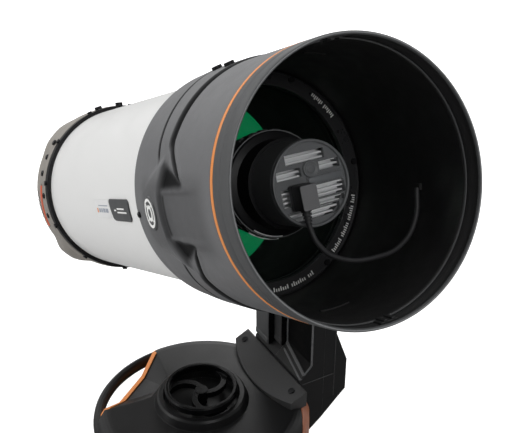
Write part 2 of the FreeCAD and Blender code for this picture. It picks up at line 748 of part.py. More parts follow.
def dew_shield():
    """Front housing with seams, a deep groove and one raised pad on each side."""
    end = ACCENT_S
    shell = s_revolve([
        (HOUSING_REAR, housing_inner_r(HOUSING_REAR)), (HOUSING_REAR, HOUSING_R0 - 1.2),
        (HOUSING_REAR + 1.5, HOUSING_R0), (199.8, housing_outer_r(200)), (200.6, 92.9),
        (202.4, 92.9), (203.2, housing_outer_r(203)), (end, housing_outer_r(end)),
        (end, housing_inner_r(end)),
    ])
    pads = []
    for side in (0, 180):
        pad = s_ring(96.6, 93, 146, 194).common(box(140, 200, 80, 100, -24, 24))
        pads.append(around_tube(pad, side))
    for side in (0, 180):
        seat = rod((BADGE_S, BADGE_Y - 0.05, 0), (0, 1, 0), BADGE_R + 0.2, 5)
        pads = [pad.cut(around_tube(seat, side)) for pad in pads]
    return in_mount(joined([shell] + pads))


def badges():
    """Plain round plate on the housing pad and a plain plate on the tube."""
    disc = rod((BADGE_S, BADGE_Y, 0), (0, 1, 0), BADGE_R, 1.2)
    plate = s_ring(TUBE_R + 0.8, TUBE_R, 38, 96).common(box(30, 100, 80, 90, -9.6, 9.6))
    return group([in_mount(around_tube(disc, 180)), in_mount(around_tube(plate, 181.5))])


def accent_ring():
    end = ACCENT_S + ACCENT_W
    inner = housing_inner_r(end) + 0.02
    return in_mount(s_revolve([
        (ACCENT_S, inner), (ACCENT_S, HOUSING_R1 - 0.5), (ACCENT_S + 0.6, HOUSING_R1),
        (end - 0.6, HOUSING_R1), (end, HOUSING_R1 - 0.5), (end, inner),
    ]))


def shield_lip():
    """Front rim with a shallow groove and two cap catches inside."""
    start = ACCENT_S + ACCENT_W
    rim = s_revolve([
        (start, 93.62), (start, 94.9), (292, HOUSING_R1), (302.5, HOUSING_R1), (304.4, 94.6),
        (LIP_S, 93.9), (LIP_S, 93.2), (303.4, 92.6), (300.0, 92.6), (298.8, 93.62),
    ])
    catches = []
    for angle in (89, 271):
        catch = box(289, 300, 91.2, 93.9, -6, 6)
        catches.append(around_tube(catch, angle))
    return in_mount(joined([rim] + catches))


def shield_liner():
    """Thin black cone inside the housing."""
    s0 = RING_S + 0.5
    s1 = 288.8
    r0 = housing_inner_r(s0) - 0.05
    r1 = housing_inner_r(s1) - 0.05
    return in_mount(s_revolve([(s0, r0 - 0.9), (s0, r0), (s1, r1), (s1, r1 - 0.9)]))


def corrector_ring():
    ring = s_ring(89.6, CLEAR_R, 155.3, RING_S)
    for k in range(6):
        hole = rod((154, RING_SCREW_R, 0), (1, 0, 0), 1.7, 8)
        ring = ring.cut(around_tube(hole, 60.0 * k))
    return in_mount(ring)


def corrector_plate():
    return in_mount(s_ring(83.0, LENS_BORE_R + 0.3, 150.5, 155.1))


def cell_screws():
    """Small cap screws: six on the corrector ring, twelve round the rear band."""
    screws = []
    for k in range(6):
        head = rod((RING_S, RING_SCREW_R, 0), (1, 0, 0), SCREW_HEAD_R, 2)
        stem = rod((RING_S - 4.6, RING_SCREW_R, 0), (1, 0, 0), SCREW_SHANK_R, 5)
        screws.append(in_mount(around_tube(head.fuse(stem).removeSplitter(), 60.0 * k)))
    for k in range(12):
        head = rod((BAND_SCREW_S, 92.1, 0), (0, 1, 0), SCREW_HEAD_R, 2)
        stem = rod((BAND_SCREW_S, 88.2, 0), (0, 1, 0), SCREW_SHANK_R, 4.5)
        screws.append(in_mount(around_tube(head.fuse(stem).removeSplitter(), 30.0 * k + 15)))
    return group(screws)


def thumb_screws():
    """Four knurled screws on top: two on the housing, two on the rear band."""
    screws = []
    places = ((172, 104, 94.5), (194, 104, 94.6), (BAND_SCREW_S, 98, 92.1), (BAND_SCREW_S, 83, 92.1))
    for s, angle, base_r in places:
        head = rod((s, base_r, 0), (0, 1, 0), THUMB_R, 3.6)
        for k in range(8):
            notch = rod((s + THUMB_R + 0.2, base_r - 1, 0), (0, 1, 0), 0.9, 8)
            head = head.cut(turned(notch, (s, 0, 0), (0, 1, 0), 45.0 * k))
        screws.append(in_mount(around_tube(head, angle)))
    return group(screws)


# === lens and camera ===========================================================
def lens_barrel():
    return in_mount(s_revolve([
        (104, 27), (104, 31), (146, 31), (146, 38), (150.4, 38), (150.4, LENS_BORE_R),
        (155.2, LENS_BORE_R), (155.2, 38), (158.5, 38), (158.5, 33.9), (173, 33.9), (173, 27),
    ]))


def lens_elements():
    lenses = []
    for s, thick, bulge in ((110, 7, 3), (124, 4, -1.2), (140, 6, 2), (158, 5, 1.5)):
        profile = []
        steps = 6
        for i in range(steps + 1):
            r = LENS_R * i / steps
            profile.append((s + bulge * (r / LENS_R) ** 2, r))
        for i in range(steps + 1):
            r = LENS_R * (steps - i) / steps
            profile.append((s + thick - 0.3 * bulge * (r / LENS_R) ** 2, r))
        lenses.append(in_mount(s_revolve(profile)))
    return group(lenses)


def camera_lock_ring():
    """Lobed clamp ring with eight wide grip notches."""
    ring = s_revolve([
        (159.0, 34.0), (159.0, 38.3), (160.2, LOCK_R), (170.8, LOCK_R), (172.0, 38.3), (172.0, 34.0),
    ])
    for k in range(8):
        notch = rod((158, 45.5, 0), (1, 0, 0), 8.5, 16)
        ring = ring.cut(around_tube(notch, 45.0 * k + 20))
    return in_mount(ring)


def drawer_slot(grow):
    """Room for the filter tray, open on the drawer side."""
    half = 26.0 + grow
    mid = DRAWER_S + 2.5
    tray = box(mid - DRAWER_T / 2 - grow, mid + DRAWER_T / 2 + grow, -half, 42, -half, half)
    return around_tube(tray, DRAWER_DIR)


def camera_body():
    body = s_revolve([
        (173, 24), (173, 39.5), (174, 41), (183, 41), (184.5, 39), (186, BODY_R), (CAP_S0, BODY_R),
        (CAP_S0, 28), (191, 28), (191, 24),
    ])
    return in_mount(body.cut(drawer_slot(0.25)))


def filter_drawer():
    mid = DRAWER_S + 2.5
    tray = box(mid - DRAWER_T / 2, mid + DRAWER_T / 2, -25.5, 42, -26, 26)
    tab = box(mid - 4, mid + 4, 41.6, 48, -13.5, 13.5)
    tray = joined([tray, tab]).cut(rod((mid - 5, 0, 0), (1, 0, 0), 22, 10))
    return in_mount(around_tube(tray, DRAWER_DIR))


def camera_sensor():
    board = s_ring(26, 0, 197, 198.6)
    chip = box(194.5, 197, -10, 10, -8, 8)
    return in_mount(board.fuse(chip).removeSplitter())


def camera_heatsink():
    block = s_ring(28.2, 0, 207, 225)
    fins = []
    pitch = 3.3
    for k in range(-8, 9):
        z = pitch * k
        half = math.sqrt(max(0.0, 28.2 ** 2 - (abs(z) + 0.6) ** 2))
        if half > 6:
            fins.append(box(224.5, 232.5, -half, half, z - 0.6, z + 0.6))
    return in_mount(joined([block] + fins))


CAP_SLOTS = [
    (-17, 15, 15.6, 22.8), (-26, -6, 6.0, 12.6), (9, 26, 7.2, 13.6),
    (2, 27, -11.5, -2.2), (-22, 20, -24.6, -17.2), (2, 25, -16.6, -12.6),
]


def camera_cap():
    cap = s_revolve([
        (CAP_S0 + 0.1, 28.5), (CAP_S0 + 0.1, CAP_R), (CAP_S1 - 1.5, CAP_R), (CAP_S1, CAP_R - 1.5),
        (CAP_S1, 0), (CAP_S1 - 3, 0), (CAP_S1 - 3, 28.5),
    ])
    for y0, y1, z0, z1 in CAP_SLOTS:
        cap = cap.cut(box(CAP_S1 - 4, CAP_S1 + 1, y0, y1, z0, z1))
    cap = cap.cut(box(CAP_S1 - 4, CAP_S1 + 1, -24.5, -2.9, -13.0, -0.4))
    bar = box(CAP_S1 - 1, CAP_S1 + 0.8, -2.9, 26.5, -1.2, 4.6)
    return in_mount(cap.fuse(bar).removeSplitter())


def camera_cable():
    """Moulded right-angle plug with its cord down to the wall and up along it."""
    plug = box(CAP_S1 + 0.1, CAP_S1 + PLUG_HIGH, -19.5, -5.5, -16, 1.8)
    plug = plug.fuse(box(CAP_S1 - 3.2, CAP_S1 + 0.2, -13.5, -5.5, -9, -3))
    boot = rod((CAP_S1 + PLUG_EXIT, -12.5, -14), (0, 0, -1), 3.4, 12)
    path = [(CAP_S1 + PLUG_EXIT, -12.5, -20), (CAP_S1 + 8.3, -10.5, -34), (CAP_S1 + 9, 3, -54)]
    for angle, r, s in ((300, 72, 247), (316, 84, 246), (330, 88.4, 244), (345, 88.8, 240)):
        path.append((s, r * math.cos(math.radians(angle)), r * math.sin(math.radians(angle))))
    curve = Part.BSplineCurve()
    curve.interpolate([V(*p) for p in path])
    spine = Part.Wire(curve.toShape())
    start = spine.Edges[0]
    section = Part.Wire(Part.makeCircle(1.9, start.valueAt(0), start.tangentAt(0)))
    cord = spine.makePipeShell([section], True, True)
    return in_mount(joined([plug, boot, cord]))


# === rear of the tube ==========================================================
def rear_band():
    band = s_ring(92.0, TUBE_R + 0.02, BAND_S0 + 0.1, BAND_S1)
    for k in range(12):
        stem = rod((-181.8, 80, 0), (0, 1, 0), 1.7, 20)
        band = band.cut(around_tube(stem, 30.0 * k + 15))
    return in_mount(band)


def rear_cell():
    """Rear cover with a vented skirt and a fan grille."""
    cell = s_revolve([
        (BAND_S0, 88.0), (BAND_S0, 91.5), (-214, 91.0), (-226, 86.5), (CELL_REAR, 78),
        (CELL_REAR, 0), (CELL_REAR + 3, 0), (CELL_REAR + 3, 76.5), (-224.5, 83.8), (-213, 88.0),
    ])
    for k in range(24):
        slot = box(-223, -216, 80, 95, -4, 4)
        cell = cell.cut(around_tube(slot, 15.0 * k))
    for k in range(3):
        inner = 7.0 * (k + 1)
        gap = s_ring(inner + 5, inner, CELL_REAR - 1, CELL_REAR + 4)
        gap = gap.cut(box(CELL_REAR - 2, CELL_REAR + 5, -30, 30, -1.5, 1.5))
        gap = gap.cut(box(CELL_REAR - 2, CELL_REAR + 5, -1.5, 1.5, -30, 30))
        cell = cell.cut(gap)
    return in_mount(cell)


def rear_trim():
    """Thin orange strip round the camera-side half of the rear cell."""
    strip = s_ring(92.0, 91.56, -203, -200.5).common(box(-210, -195, -95, 0, -60, 60))
    return in_mount(strip)


def mirror_bulkhead():
    """Disc behind the mirror with the guide tube the mirror slides on."""
    plate = s_ring(87.9, 0, -193.5, -187.1)
    guide = s_ring(GUIDE_R, GUIDE_R - 2.5, -190, -118)
    body = joined([plate, guide])
    body = body.cut(s_ring(GUIDE_R - 2.5, 0, -200, -110))
    for k in range(8):
        vent = rod((-195, 62, 0), (1, 0, 0), 9, 10)
        if k != 6:
            body = body.cut(around_tube(vent, 45.0 * k))
    return in_mount(body.cut(rod((-196, 0, FOCUS_Z), (1, 0, 0), 3.3, 12)))


def primary_mirror():
    """Concave spherical mirror with a central hole."""
    front = []
    steps = 10
    for i in range(steps + 1):
        r = GUIDE_R + 3 + (MIRROR_R - GUIDE_R - 3) * i / steps
        sag = MIRROR_CURVE - math.sqrt(MIRROR_CURVE ** 2 - r * r)
        front.append((MIRROR_FACE + sag, r))
    back = MIRROR_FACE - MIRROR_T
    return in_mount(s_revolve(front + [(back, MIRROR_R), (back, GUIDE_R + 3)]))


def mirror_cell():
    back = MIRROR_FACE - MIRROR_T - 0.05
    plate = s_ring(74, 0, back - 12, back)
    sleeve = s_ring(GUIDE_R + 2.9, 0, back - 12, back + 14)
    cell = joined([plate, sleeve]).cut(s_ring(GUIDE_R + 0.05, 0, back - 20, back + 20))
    return in_mount(cell.cut(rod((back - 14, 0, FOCUS_Z), (1, 0, 0), 3.05, 20)))


def focus_screw():
    screw = rod((-206, 0, FOCUS_Z), (1, 0, 0), 3.0, 44.4)
    collar = rod((-187.0, 0, FOCUS_Z), (1, 0, 0), 6.0, 3)
    return in_mount(screw.fuse(collar).removeSplitter())


def focus_motor():
    motor = rod((-221, 0, FOCUS_Z), (1, 0, 0), 12, 27.4)
    flange = box(-196, -193.6, -15, 15, FOCUS_Z - 15, FOCUS_Z + 15)
    motor = motor.fuse(flange).removeSplitter()
    return in_mount(motor.cut(rod((-208, 0, FOCUS_Z), (1, 0, 0), 3.1, 20)))


def fan_frame():
    frame = box(-230.9, -216, -30, 30, -30, 30).cut(s_ring(28, 0, -232, -215))
    spider = [s_ring(11, 0, -218, -216), box(-218, -216, -29, 29, -2, 2), box(-218, -216, -2, 2, -29, 29)]
    return in_mount(joined([frame] + spider))


def fan_rotor():
    hub = s_ring(10.5, 0, -228, -218.6)
    blades = []
    for k in range(7):
        blade = box(-227, -219.5, 9, 26.8, -1, 1)
        blade = turned(blade, (-223, 0, 0), (0, 1, 0), 32)
        blades.append(around_tube(blade, 360.0 / 7 * k))
    return in_mount(joined([hub] + blades).common(s_ring(26.8, 0, -230, -218.5)))


def computer_board():
    board = box(-202, -200.4, -42, 42, 34, 70)
    chips = [box(-206, -202, -20, 0, 42, 60), box(-205, -202, 12, 28, 40, 54)]
    posts = [rod((-200.5, y, z), (1, 0, 0), 3, 7) for y, z in ((-36, 40), (36, 40), (-36, 66), (36, 66))]
    return in_mount(joined([board] + chips + posts))


# === assembly ==================================================================
def save(name, shape):
    shape.exportStep("parts/" + name + ".step")
    size = shape.BoundBox
    print(name, len(shape.Solids), shape.isValid(), round(shape.Volume),
          [round(v, 1) for v in (size.XMin, size.XMax, size.YMin, size.YMax, size.ZMin, size.ZMax)])


def main():
    os.makedirs("parts", exist_ok=True)
    shell = arm_shell()
    nodes = {
        "base_plate": base_plate(),
        "azimuth_spindle": azimuth_spindle(),
        "azimuth_ring_gear": azimuth_ring_gear(),
        "drum_shell": drum_shell(),
        "drum_floor": drum_floor(),
        "azimuth_bearings": azimuth_bearings(),
        "azimuth_motor": azimuth_motor(),
        "azimuth_pinion": azimuth_pinion(),
        "azimuth_knob": azimuth_knob(),
        "battery_pack": battery_pack(),
        "control_board": control_board(),
        "port_panel": port_panel(),
        "power_button": power_button(),
        "mount_trim": mount_trim(),
        "arm_flange": arm_flange(),
        "flange_screws": flange_screws(),
        "arm_shell_inner": arm_shell_inner(shell),
        "arm_shell_outer": arm_shell_outer(shell),
        "arm_panel": arm_panel(),
        "arm_frame": arm_frame(),
        "altitude_motor": altitude_motor(),
        "altitude_bearings": altitude_bearings(),
        "altitude_pinion": altitude_pinion(),
        "altitude_knob": altitude_knob(),
        "altitude_shaft": altitude_shaft(),
        "saddle_plate": saddle_plate(),
        "saddle_jaw": saddle_jaw(),
        "saddle_knob": saddle_knob(),
        "dovetail_bar": dovetail_bar(),
        "tube_body": tube_body(),
        "front_cell": front_cell(),
        "dew_shield": dew_shield(),
        "shield_liner": shield_liner(),
        "shield_lip": shield_lip(),
        "accent_ring": accent_ring(),
        "badges": badges(),
        "corrector_ring": corrector_ring(),
        "corrector_plate": corrector_plate(),
        "cell_screws": cell_screws(),
        "thumb_screws": thumb_screws(),
        "lens_barrel": lens_barrel(),
        "lens_elements": lens_elements(),
        "camera_lock_ring": camera_lock_ring(),
        "camera_body": camera_body(),
        "filter_drawer": filter_drawer(),
        "camera_sensor": camera_sensor(),
        "camera_heatsink": camera_heatsink(),
        "camera_cap": camera_cap(),
        "camera_cable": camera_cable(),
        "rear_band": rear_band(),
        "rear_cell": rear_cell(),
        "rear_trim": rear_trim(),
        "mirror_bulkhead": mirror_bulkhead(),
        "primary_mirror": primary_mirror(),
        "mirror_cell": mirror_cell(),
        "focus_screw": focus_screw(),
        "focus_motor": focus_motor(),
        "fan_frame": fan_frame(),
        "fan_rotor": fan_rotor(),
        "computer_board": computer_board(),
    }
    for name, shape in nodes.items():
        save(name, shape)


main()
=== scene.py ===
import json
import math
import bpy
import bmesh
import numpy as np
from mathutils import Matrix, Vector


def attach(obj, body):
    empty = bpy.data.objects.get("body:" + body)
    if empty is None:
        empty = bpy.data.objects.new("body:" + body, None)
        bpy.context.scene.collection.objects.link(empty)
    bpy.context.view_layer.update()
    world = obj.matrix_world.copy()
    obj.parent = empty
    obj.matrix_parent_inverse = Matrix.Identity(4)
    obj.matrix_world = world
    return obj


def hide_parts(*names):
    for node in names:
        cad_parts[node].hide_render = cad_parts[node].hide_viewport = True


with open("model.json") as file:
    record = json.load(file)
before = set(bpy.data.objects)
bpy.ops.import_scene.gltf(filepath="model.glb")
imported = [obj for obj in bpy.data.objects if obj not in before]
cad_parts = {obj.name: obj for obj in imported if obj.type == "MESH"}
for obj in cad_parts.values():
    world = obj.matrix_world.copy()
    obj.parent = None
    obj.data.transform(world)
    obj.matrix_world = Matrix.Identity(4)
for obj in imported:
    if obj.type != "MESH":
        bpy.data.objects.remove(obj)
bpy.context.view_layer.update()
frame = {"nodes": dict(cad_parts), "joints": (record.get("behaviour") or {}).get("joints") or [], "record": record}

MM = 0.001

# === places taken from the frame ================================================
JOINTS = {j["name"]: j for j in frame["joints"]}
TUBE_ORIGIN = Vector(JOINTS["fan_spin"]["pos_m"])
TUBE_X = Vector(JOINTS["fan_spin"]["axis"]).normalized()
TUBE_Y = Vector((0, 1, 0))
TUBE_Z = TUBE_X.cross(TUBE_Y)
TUBE = Matrix((TUBE_X, TUBE_Y, TUBE_Z)).transposed().to_4x4()
TUBE.translation = TUBE_ORIGIN


def tube_reach(node):
    """Lowest and highest position of a node along the optical axis, in mm."""
    inverse = TUBE.inverted()
    along = [(inverse @ v.co).x for v in frame["nodes"][node].data.vertices]
    return min(along) / MM, max(along) / MM


HOUSING_S0, HOUSING_S1 = tube_reach("dew_shield")
LIP_S0, LIP_S1 = tube_reach("shield_lip")
CAP_S1 = tube_reach("camera_cap")[1]


# === number helpers =============================================================
def smooth(a, b, x):
    """Zero below a, one above b, smooth between; works on arrays."""
    t = np.clip((x - a) / (b - a), 0.0, 1.0)
    return t * t * (3 - 2 * t)


def bump(x, centre, half):
    """One at the centre, falling smoothly to zero at half a width away."""
    t = np.clip(np.abs(x - centre) / half, 0.0, 1.0)
    return 1 - t * t * (3 - 2 * t)


def steps(*knots):
    """Joined runs of evenly spaced values: (start, stop, count) each, ends shared."""
    runs = [np.linspace(a, b, n, endpoint=False) for a, b, n in knots]
    return np.concatenate(runs + [[knots[-1][1]]])


# === mesh helpers ===============================================================
def mesh_object(name, verts, faces, material, body, matrix=None, slot=None, smooth_angle=40):
    """Mesh in mm, placed by an optional matrix, riding on a body."""
    mesh = bpy.data.meshes.new(name)
    co = np.asarray(verts, float).reshape(-1, 3) * MM
    if matrix is not None:
        m = np.array(matrix)
        co = co @ m[:3, :3].T + m[:3, 3]
    mesh.from_pydata(co.tolist(), [], faces)
    obj = bpy.data.objects.new(name, mesh)
    bpy.context.scene.collection.objects.link(obj)
    finish_mesh(obj, smooth_angle)
    mesh.materials.append(material)
    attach(obj, body)
    return obj


def finish_mesh(obj, smooth_angle):
    """Outward faces and smooth shading that breaks at sharp edges."""
    bm = bmesh.new()
    bm.from_mesh(obj.data)
    bmesh.ops.remove_doubles(bm, verts=bm.verts, dist=1e-7)
    bmesh.ops.recalc_face_normals(bm, faces=bm.faces)
    limit = math.radians(smooth_angle)
    for face in bm.faces:
        face.smooth = True
    for edge in bm.edges:
        edge.smooth = len(edge.link_faces) == 2 and edge.calc_face_angle(0) < limit
    bm.to_mesh(obj.data)
    bm.free()


def grid_faces(rows, cols, close_rows, close_cols):
    """Quads of a rows by cols vertex grid, closed round either way."""
    r = np.arange(rows if close_rows else rows - 1)
    c = np.arange(cols if close_cols else cols - 1)
    rr, cc = np.meshgrid(r, c, indexing="ij")
    a = rr * cols + cc
    b = rr * cols + (cc + 1) % cols
    d = ((rr + 1) % rows) * cols + cc
    e = ((rr + 1) % rows) * cols + (cc + 1) % cols
    return np.stack([a, b, e, d], -1).reshape(-1, 4).tolist()


def merged(shapes):
    """One vertex and face list from several."""
    verts = []
    faces = []
    for v, f in shapes:
        faces += [[i + len(verts) for i in q] for q in f]
        verts += v
    return verts, faces


def capped(levels, count):
    """Faces of a closed stack of rings with both ends covered."""
    ends = [list(range(count))[::-1], [(levels - 1) * count + k for k in range(count)]]
    return grid_faces(levels, count, False, True) + ends


def border(rows, cols):
    """Vertex numbers round the edge of a grid."""
    return (list(range(cols)) + [cols * k + cols - 1 for k in range(1, rows)]
            + [cols * (rows - 1) + k for k in range(cols - 2, -1, -1)]
            + [cols * k for k in range(rows - 2, 0, -1)])


def tube_skin(name, s, radius, phi, material, body="tube", slot=None, smooth_angle=40):
    """Closed ring about the optical axis; s and radius are (profile, angle) grids."""
    verts = np.stack([s, radius * np.cos(phi), radius * np.sin(phi)], -1)
    faces = grid_faces(s.shape[0], s.shape[1], True, True)
    return mesh_object(name, verts, faces, material, body, TUBE, slot, smooth_angle)


def lathe_tube(name, profile, count, material, body="tube", slot=None, smooth_angle=40):
    """Ring turned about the optical axis from closed (position, radius) points."""
    p = np.array(profile, float)
    phi = np.linspace(0, 2 * math.pi, count, endpoint=False)
    s = np.repeat(p[:, :1], count, 1)
    r = np.repeat(p[:, 1:], count, 1)
    return tube_skin(name, s, r, np.repeat(phi[None], len(p), 0), material, body, slot, smooth_angle)


def rounded(points, radius, arc=4):
    """Closed outline with every corner replaced by a short arc of the given size."""
    out = []
    n = len(points)
    for i in range(n):
        prev, here, after = (Vector(points[(i + k) % n]) for k in (-1, 0, 1))
        a = prev - here
        b = after - here
        cut = min(radius, a.length * 0.45, b.length * 0.45)
        start = here + a.normalized() * cut
        end = here + b.normalized() * cut
        for k in range(arc + 1):
            t = k / arc
            out.append(tuple((1 - t) ** 2 * start + 2 * t * (1 - t) * here + t * t * end))
    return out


# === materials ==================================================================
class Paint:
    """Small wrapper that builds one procedural material node by node."""

    def __init__(self, name):
        self.material = bpy.data.materials.new(name)
        self.material.use_nodes = True
        self.tree = self.material.node_tree
        self.shader = self.tree.nodes["Principled BSDF"]
        self.coords = self.node("ShaderNodeTexCoord").outputs["Object"]

    def node(self, kind, inputs=None, **settings):
        made = self.tree.nodes.new(kind)
        for key, value in settings.items():
            setattr(made, key, value)
        for key, value in (inputs or {}).items():
            self.feed(made.inputs[key], value)
        return made

    def feed(self, socket, value):
        if isinstance(value, bpy.types.NodeSocket):
            self.tree.links.new(value, socket)
        else:
            socket.default_value = value

    def math(self, operation, a, b=0.0, clamp=False):
        made = self.node("ShaderNodeMath", {0: a, 1: b}, operation=operation, use_clamp=clamp)
        return made.outputs[0]

    def noise(self, scale, detail=3.0, rough=0.5, stretch=None):
        where = self.coords
        if stretch:
            where = self.node("ShaderNodeMapping", {"Vector": where, "Scale": stretch}).outputs[0]
        made = self.node("ShaderNodeTexNoise",
                         {"Vector": where, "Scale": scale, "Detail": detail, "Roughness": rough})
        return made.outputs[0]

    def spots(self, scale):
        made = self.node("ShaderNodeTexVoronoi", {"Vector": self.coords, "Scale": scale})
        return made.outputs["Distance"]

    def remap(self, value, low, high, out_low, out_high):
        made = self.node("ShaderNodeMapRange", {
            "Value": value, "From Min": low, "From Max": high, "To Min": out_low, "To Max": out_high})
        return made.outputs[0]

    def mix(self, factor, a, b):
        made = self.node("ShaderNodeMix", data_type="RGBA")
        self.feed(made.inputs["Factor"], factor)
        self.feed(made.inputs[6], a)
        self.feed(made.inputs[7], b)
        return made.outputs[2]

    def set(self, **inputs):
        for key, value in inputs.items():
            self.feed(self.shader.inputs[key.replace("_", " ")], value)


def rgb(r, g, b):
    return (r, g, b, 1.0)


def surface(name, colour, rough, metallic=0.0, grain=1500.0, grain_depth=0.02, mottle=0.12,
            edge=0.35, edge_radius=0.0008, coat=0.0, sheen=0.0, brushed=None, dust=0.0, ior=1.5, painted_glow=0.0,
            painted_shade=0.0):
    """General finish: mottled colour, fine grain, softened edges lightened as wear and as painted highlight,
    uneven gloss; optional painted shade and painted glow.
    """
    p = Paint(name)
    base = rgb(*colour)
    dark = rgb(*(c * (1 - mottle) for c in colour))
    light = rgb(*(min(1.0, c * (1 + mottle) + mottle * 0.01) for c in colour))
    tone = p.mix(p.noise(14, 4, 0.6), dark, light)
    tone = p.mix(0.5, base, tone)
    bevel = p.node("ShaderNodeBevel", {"Radius": edge_radius}, samples=4)
    geometry = p.node("ShaderNodeNewGeometry")
    dot = p.node("ShaderNodeVectorMath", {0: bevel.outputs[0], 1: geometry.outputs["Normal"]},
                 operation="DOT_PRODUCT")
    # Edges are lightened: partly worn edges, partly a painted highlight that makes edges read as lit.
    rim = p.remap(dot.outputs["Value"], 0.995, 0.85, 0.0, 1.0)
    edge_breakup = p.remap(p.noise(90, 5, 0.7), 0.42, 0.62, 0.15, 1.0)
    wear_and_highlight = p.math("MULTIPLY", p.math("MULTIPLY", rim, edge_breakup), edge, True)
    worn_highlight = rgb(*(min(1.0, c * 1.9 + 0.06) for c in colour))
    tone = p.mix(wear_and_highlight, tone, worn_highlight)
    # Painted shade: darkens the colour and dims reflections where the mesh's stored shade value is high.
    if painted_shade > 0:
        deep = p.node("ShaderNodeAttribute", attribute_name="painted_shade").outputs["Fac"]
        tone = p.mix(p.math("MULTIPLY", deep, painted_shade, True), tone, rgb(*(c * 0.10 for c in colour)))
        p.set(Specular_IOR_Level=p.remap(deep, 0.0, 1.0, 0.5, 0.05))
    if dust > 0:
        up = p.node("ShaderNodeSeparateXYZ", {0: geometry.outputs["Normal"]}).outputs[2]
        lay = p.math("MULTIPLY", p.remap(up, 0.5, 1.0, 0.0, 1.0),
                     p.remap(p.noise(60, 6, 0.7), 0.4, 0.75, 0, dust))
        tone = p.mix(lay, tone, rgb(0.45, 0.44, 0.42))
    fine = p.noise(grain, 2, 0.6, brushed)
    pores = p.spots(grain * 0.55)
    height = p.math("ADD", fine, p.math("MULTIPLY", pores, 0.5))
    relief = p.node("ShaderNodeBump", {"Strength": 1.0, "Distance": grain_depth * MM, "Height": height,
                                       "Normal": bevel.outputs[0]})
    gloss = p.math("ADD", p.remap(p.noise(35, 5, 0.65), 0.3, 0.7, rough * 0.82, rough * 1.15),
                   p.math("MULTIPLY", wear_and_highlight, -0.08), True)
    p.set(Base_Color=tone, Roughness=gloss, Metallic=metallic, Normal=relief.outputs[0],
          Coat_Weight=coat, Sheen_Weight=sheen, IOR=ior)
    # Painted light: glows for camera rays only, though the surface is no lamp.
    if painted_glow > 0:
        seen = p.node("ShaderNodeLightPath").outputs["Is Camera Ray"]
        p.set(Base_Color=rgb(0.002, 0.004, 0.003), Emission_Color=tone,
              Emission_Strength=p.math("MULTIPLY", seen, painted_glow))
    return p.material


def glass(name, tint, rough=0.02):
    """Coated optical glass that lets straight light through."""
    p = Paint(name)
    smear = p.remap(p.noise(25, 5, 0.7), 0.35, 0.7, rough, rough + 0.04)
    clear = p.node("ShaderNodeBsdfTransparent", {"Color": rgb(*tint)})
    shine = p.node("ShaderNodeBsdfGlossy", {"Color": rgb(0.75, 0.95, 0.85), "Roughness": smear})
    facing = p.node("ShaderNodeFresnel", {"IOR": 1.25})
    blend = p.node("ShaderNodeMixShader", {0: facing.outputs[0], 1: clear.outputs[0], 2: shine.outputs[0]})
    out = p.tree.nodes["Material Output"]
    p.tree.links.new(blend.outputs[0], out.inputs["Surface"])
    return p.material


# Darkened where the mesh stores painted shade.
HOUSING = surface("housing_plastic", (0.142, 0.143, 0.148), 0.46, painted_shade=1.0, grain=1100, grain_depth=0.06,
                  mottle=0.22, edge=0.4, ior=1.4)
LIP = surface("lip_plastic", (0.17, 0.175, 0.18), 0.4, grain_depth=0.03, edge=0.4)
ORANGE = surface("orange_plastic", (0.80, 0.27, 0.06), 0.38, grain=1600, edge=0.2)
LINER = surface("liner_black", (0.019, 0.0185, 0.019), 0.56, grain=1200, grain_depth=0.04, edge=0.1,
                ior=1.42)
TUBE_WHITE = surface("tube_paint", (0.84, 0.84, 0.83), 0.34, grain=500, grain_depth=0.0012, mottle=0.02,
                     edge=0.05, coat=0.25)
BLACK_METAL = surface("black_metal", (0.008, 0.008, 0.009), 0.46, grain=1100, edge=1.0, edge_radius=0.0006,
                      ior=1.28)
MOUNT = surface("mount_plastic", (0.006, 0.006, 0.0064), 0.36, grain_depth=0.04, edge=0.6, ior=1.36)
FLANGE = surface("flange_plastic", (0.042, 0.042, 0.043), 0.45, grain_depth=0.04, edge=0.6, ior=1.4)
# Painted highlight: lighter plastic for the bead faces, standing in for light on them.
BEAD_HIGHLIGHT = surface("bead_highlight", (0.11, 0.112, 0.115), 0.3, edge=0.5)
# Painted shade: near-black for the floor of the sunk pocket.
POCKET = surface("pocket_shade", (0.002, 0.002, 0.0022), 0.5, grain_depth=0.04, edge=0.1, ior=1.2)
RAIL = surface("rail_plastic", (0.075, 0.078, 0.080), 0.45, grain_depth=0.04, edge=0.4)
KNOB = surface("knob_plastic", (0.003, 0.003, 0.0034), 0.26, grain=1600, grain_depth=0.03, edge=1.0,
               ior=1.22)
BUTTON = surface("button_plastic", (0.05, 0.05, 0.055), 0.25, coat=0.5, grain=1800)
# Darkened where the mesh stores painted shade.
REAR = surface("rear_plastic", (0.26, 0.24, 0.215), 0.5, grain_depth=0.04, mottle=0.2, painted_shade=1.0)
CAP = surface("cap_plastic", (0.130, 0.135, 0.140), 0.42, grain=1700, grain_depth=0.03, edge=0.9)
RED_INLAY = surface("red_inlay", (0.62, 0.10, 0.035), 0.4, grain=1600, edge=0.2)
BADGE = surface("badge_plastic", (0.20, 0.21, 0.22), 0.35, metallic=0.3, grain=900, grain_depth=0.01,
                brushed=(1, 12, 1))
FIN = surface("bare_aluminium", (0.93, 0.94, 0.95), 0.42, metallic=0.25, grain=700, brushed=(1, 0.05, 1),
              edge=0.3, edge_radius=0.0003)
STEEL = surface("steel", (0.50, 0.50, 0.51), 0.25, metallic=1.0, grain=900, grain_depth=0.01)
DARK_STEEL = surface("dark_steel", (0.03, 0.03, 0.032), 0.35, metallic=0.9, grain=900, edge=0.6,
                     edge_radius=0.0003)
BRASS = surface("brass", (0.62, 0.42, 0.16), 0.28, metallic=1.0, grain=900, grain_depth=0.01)
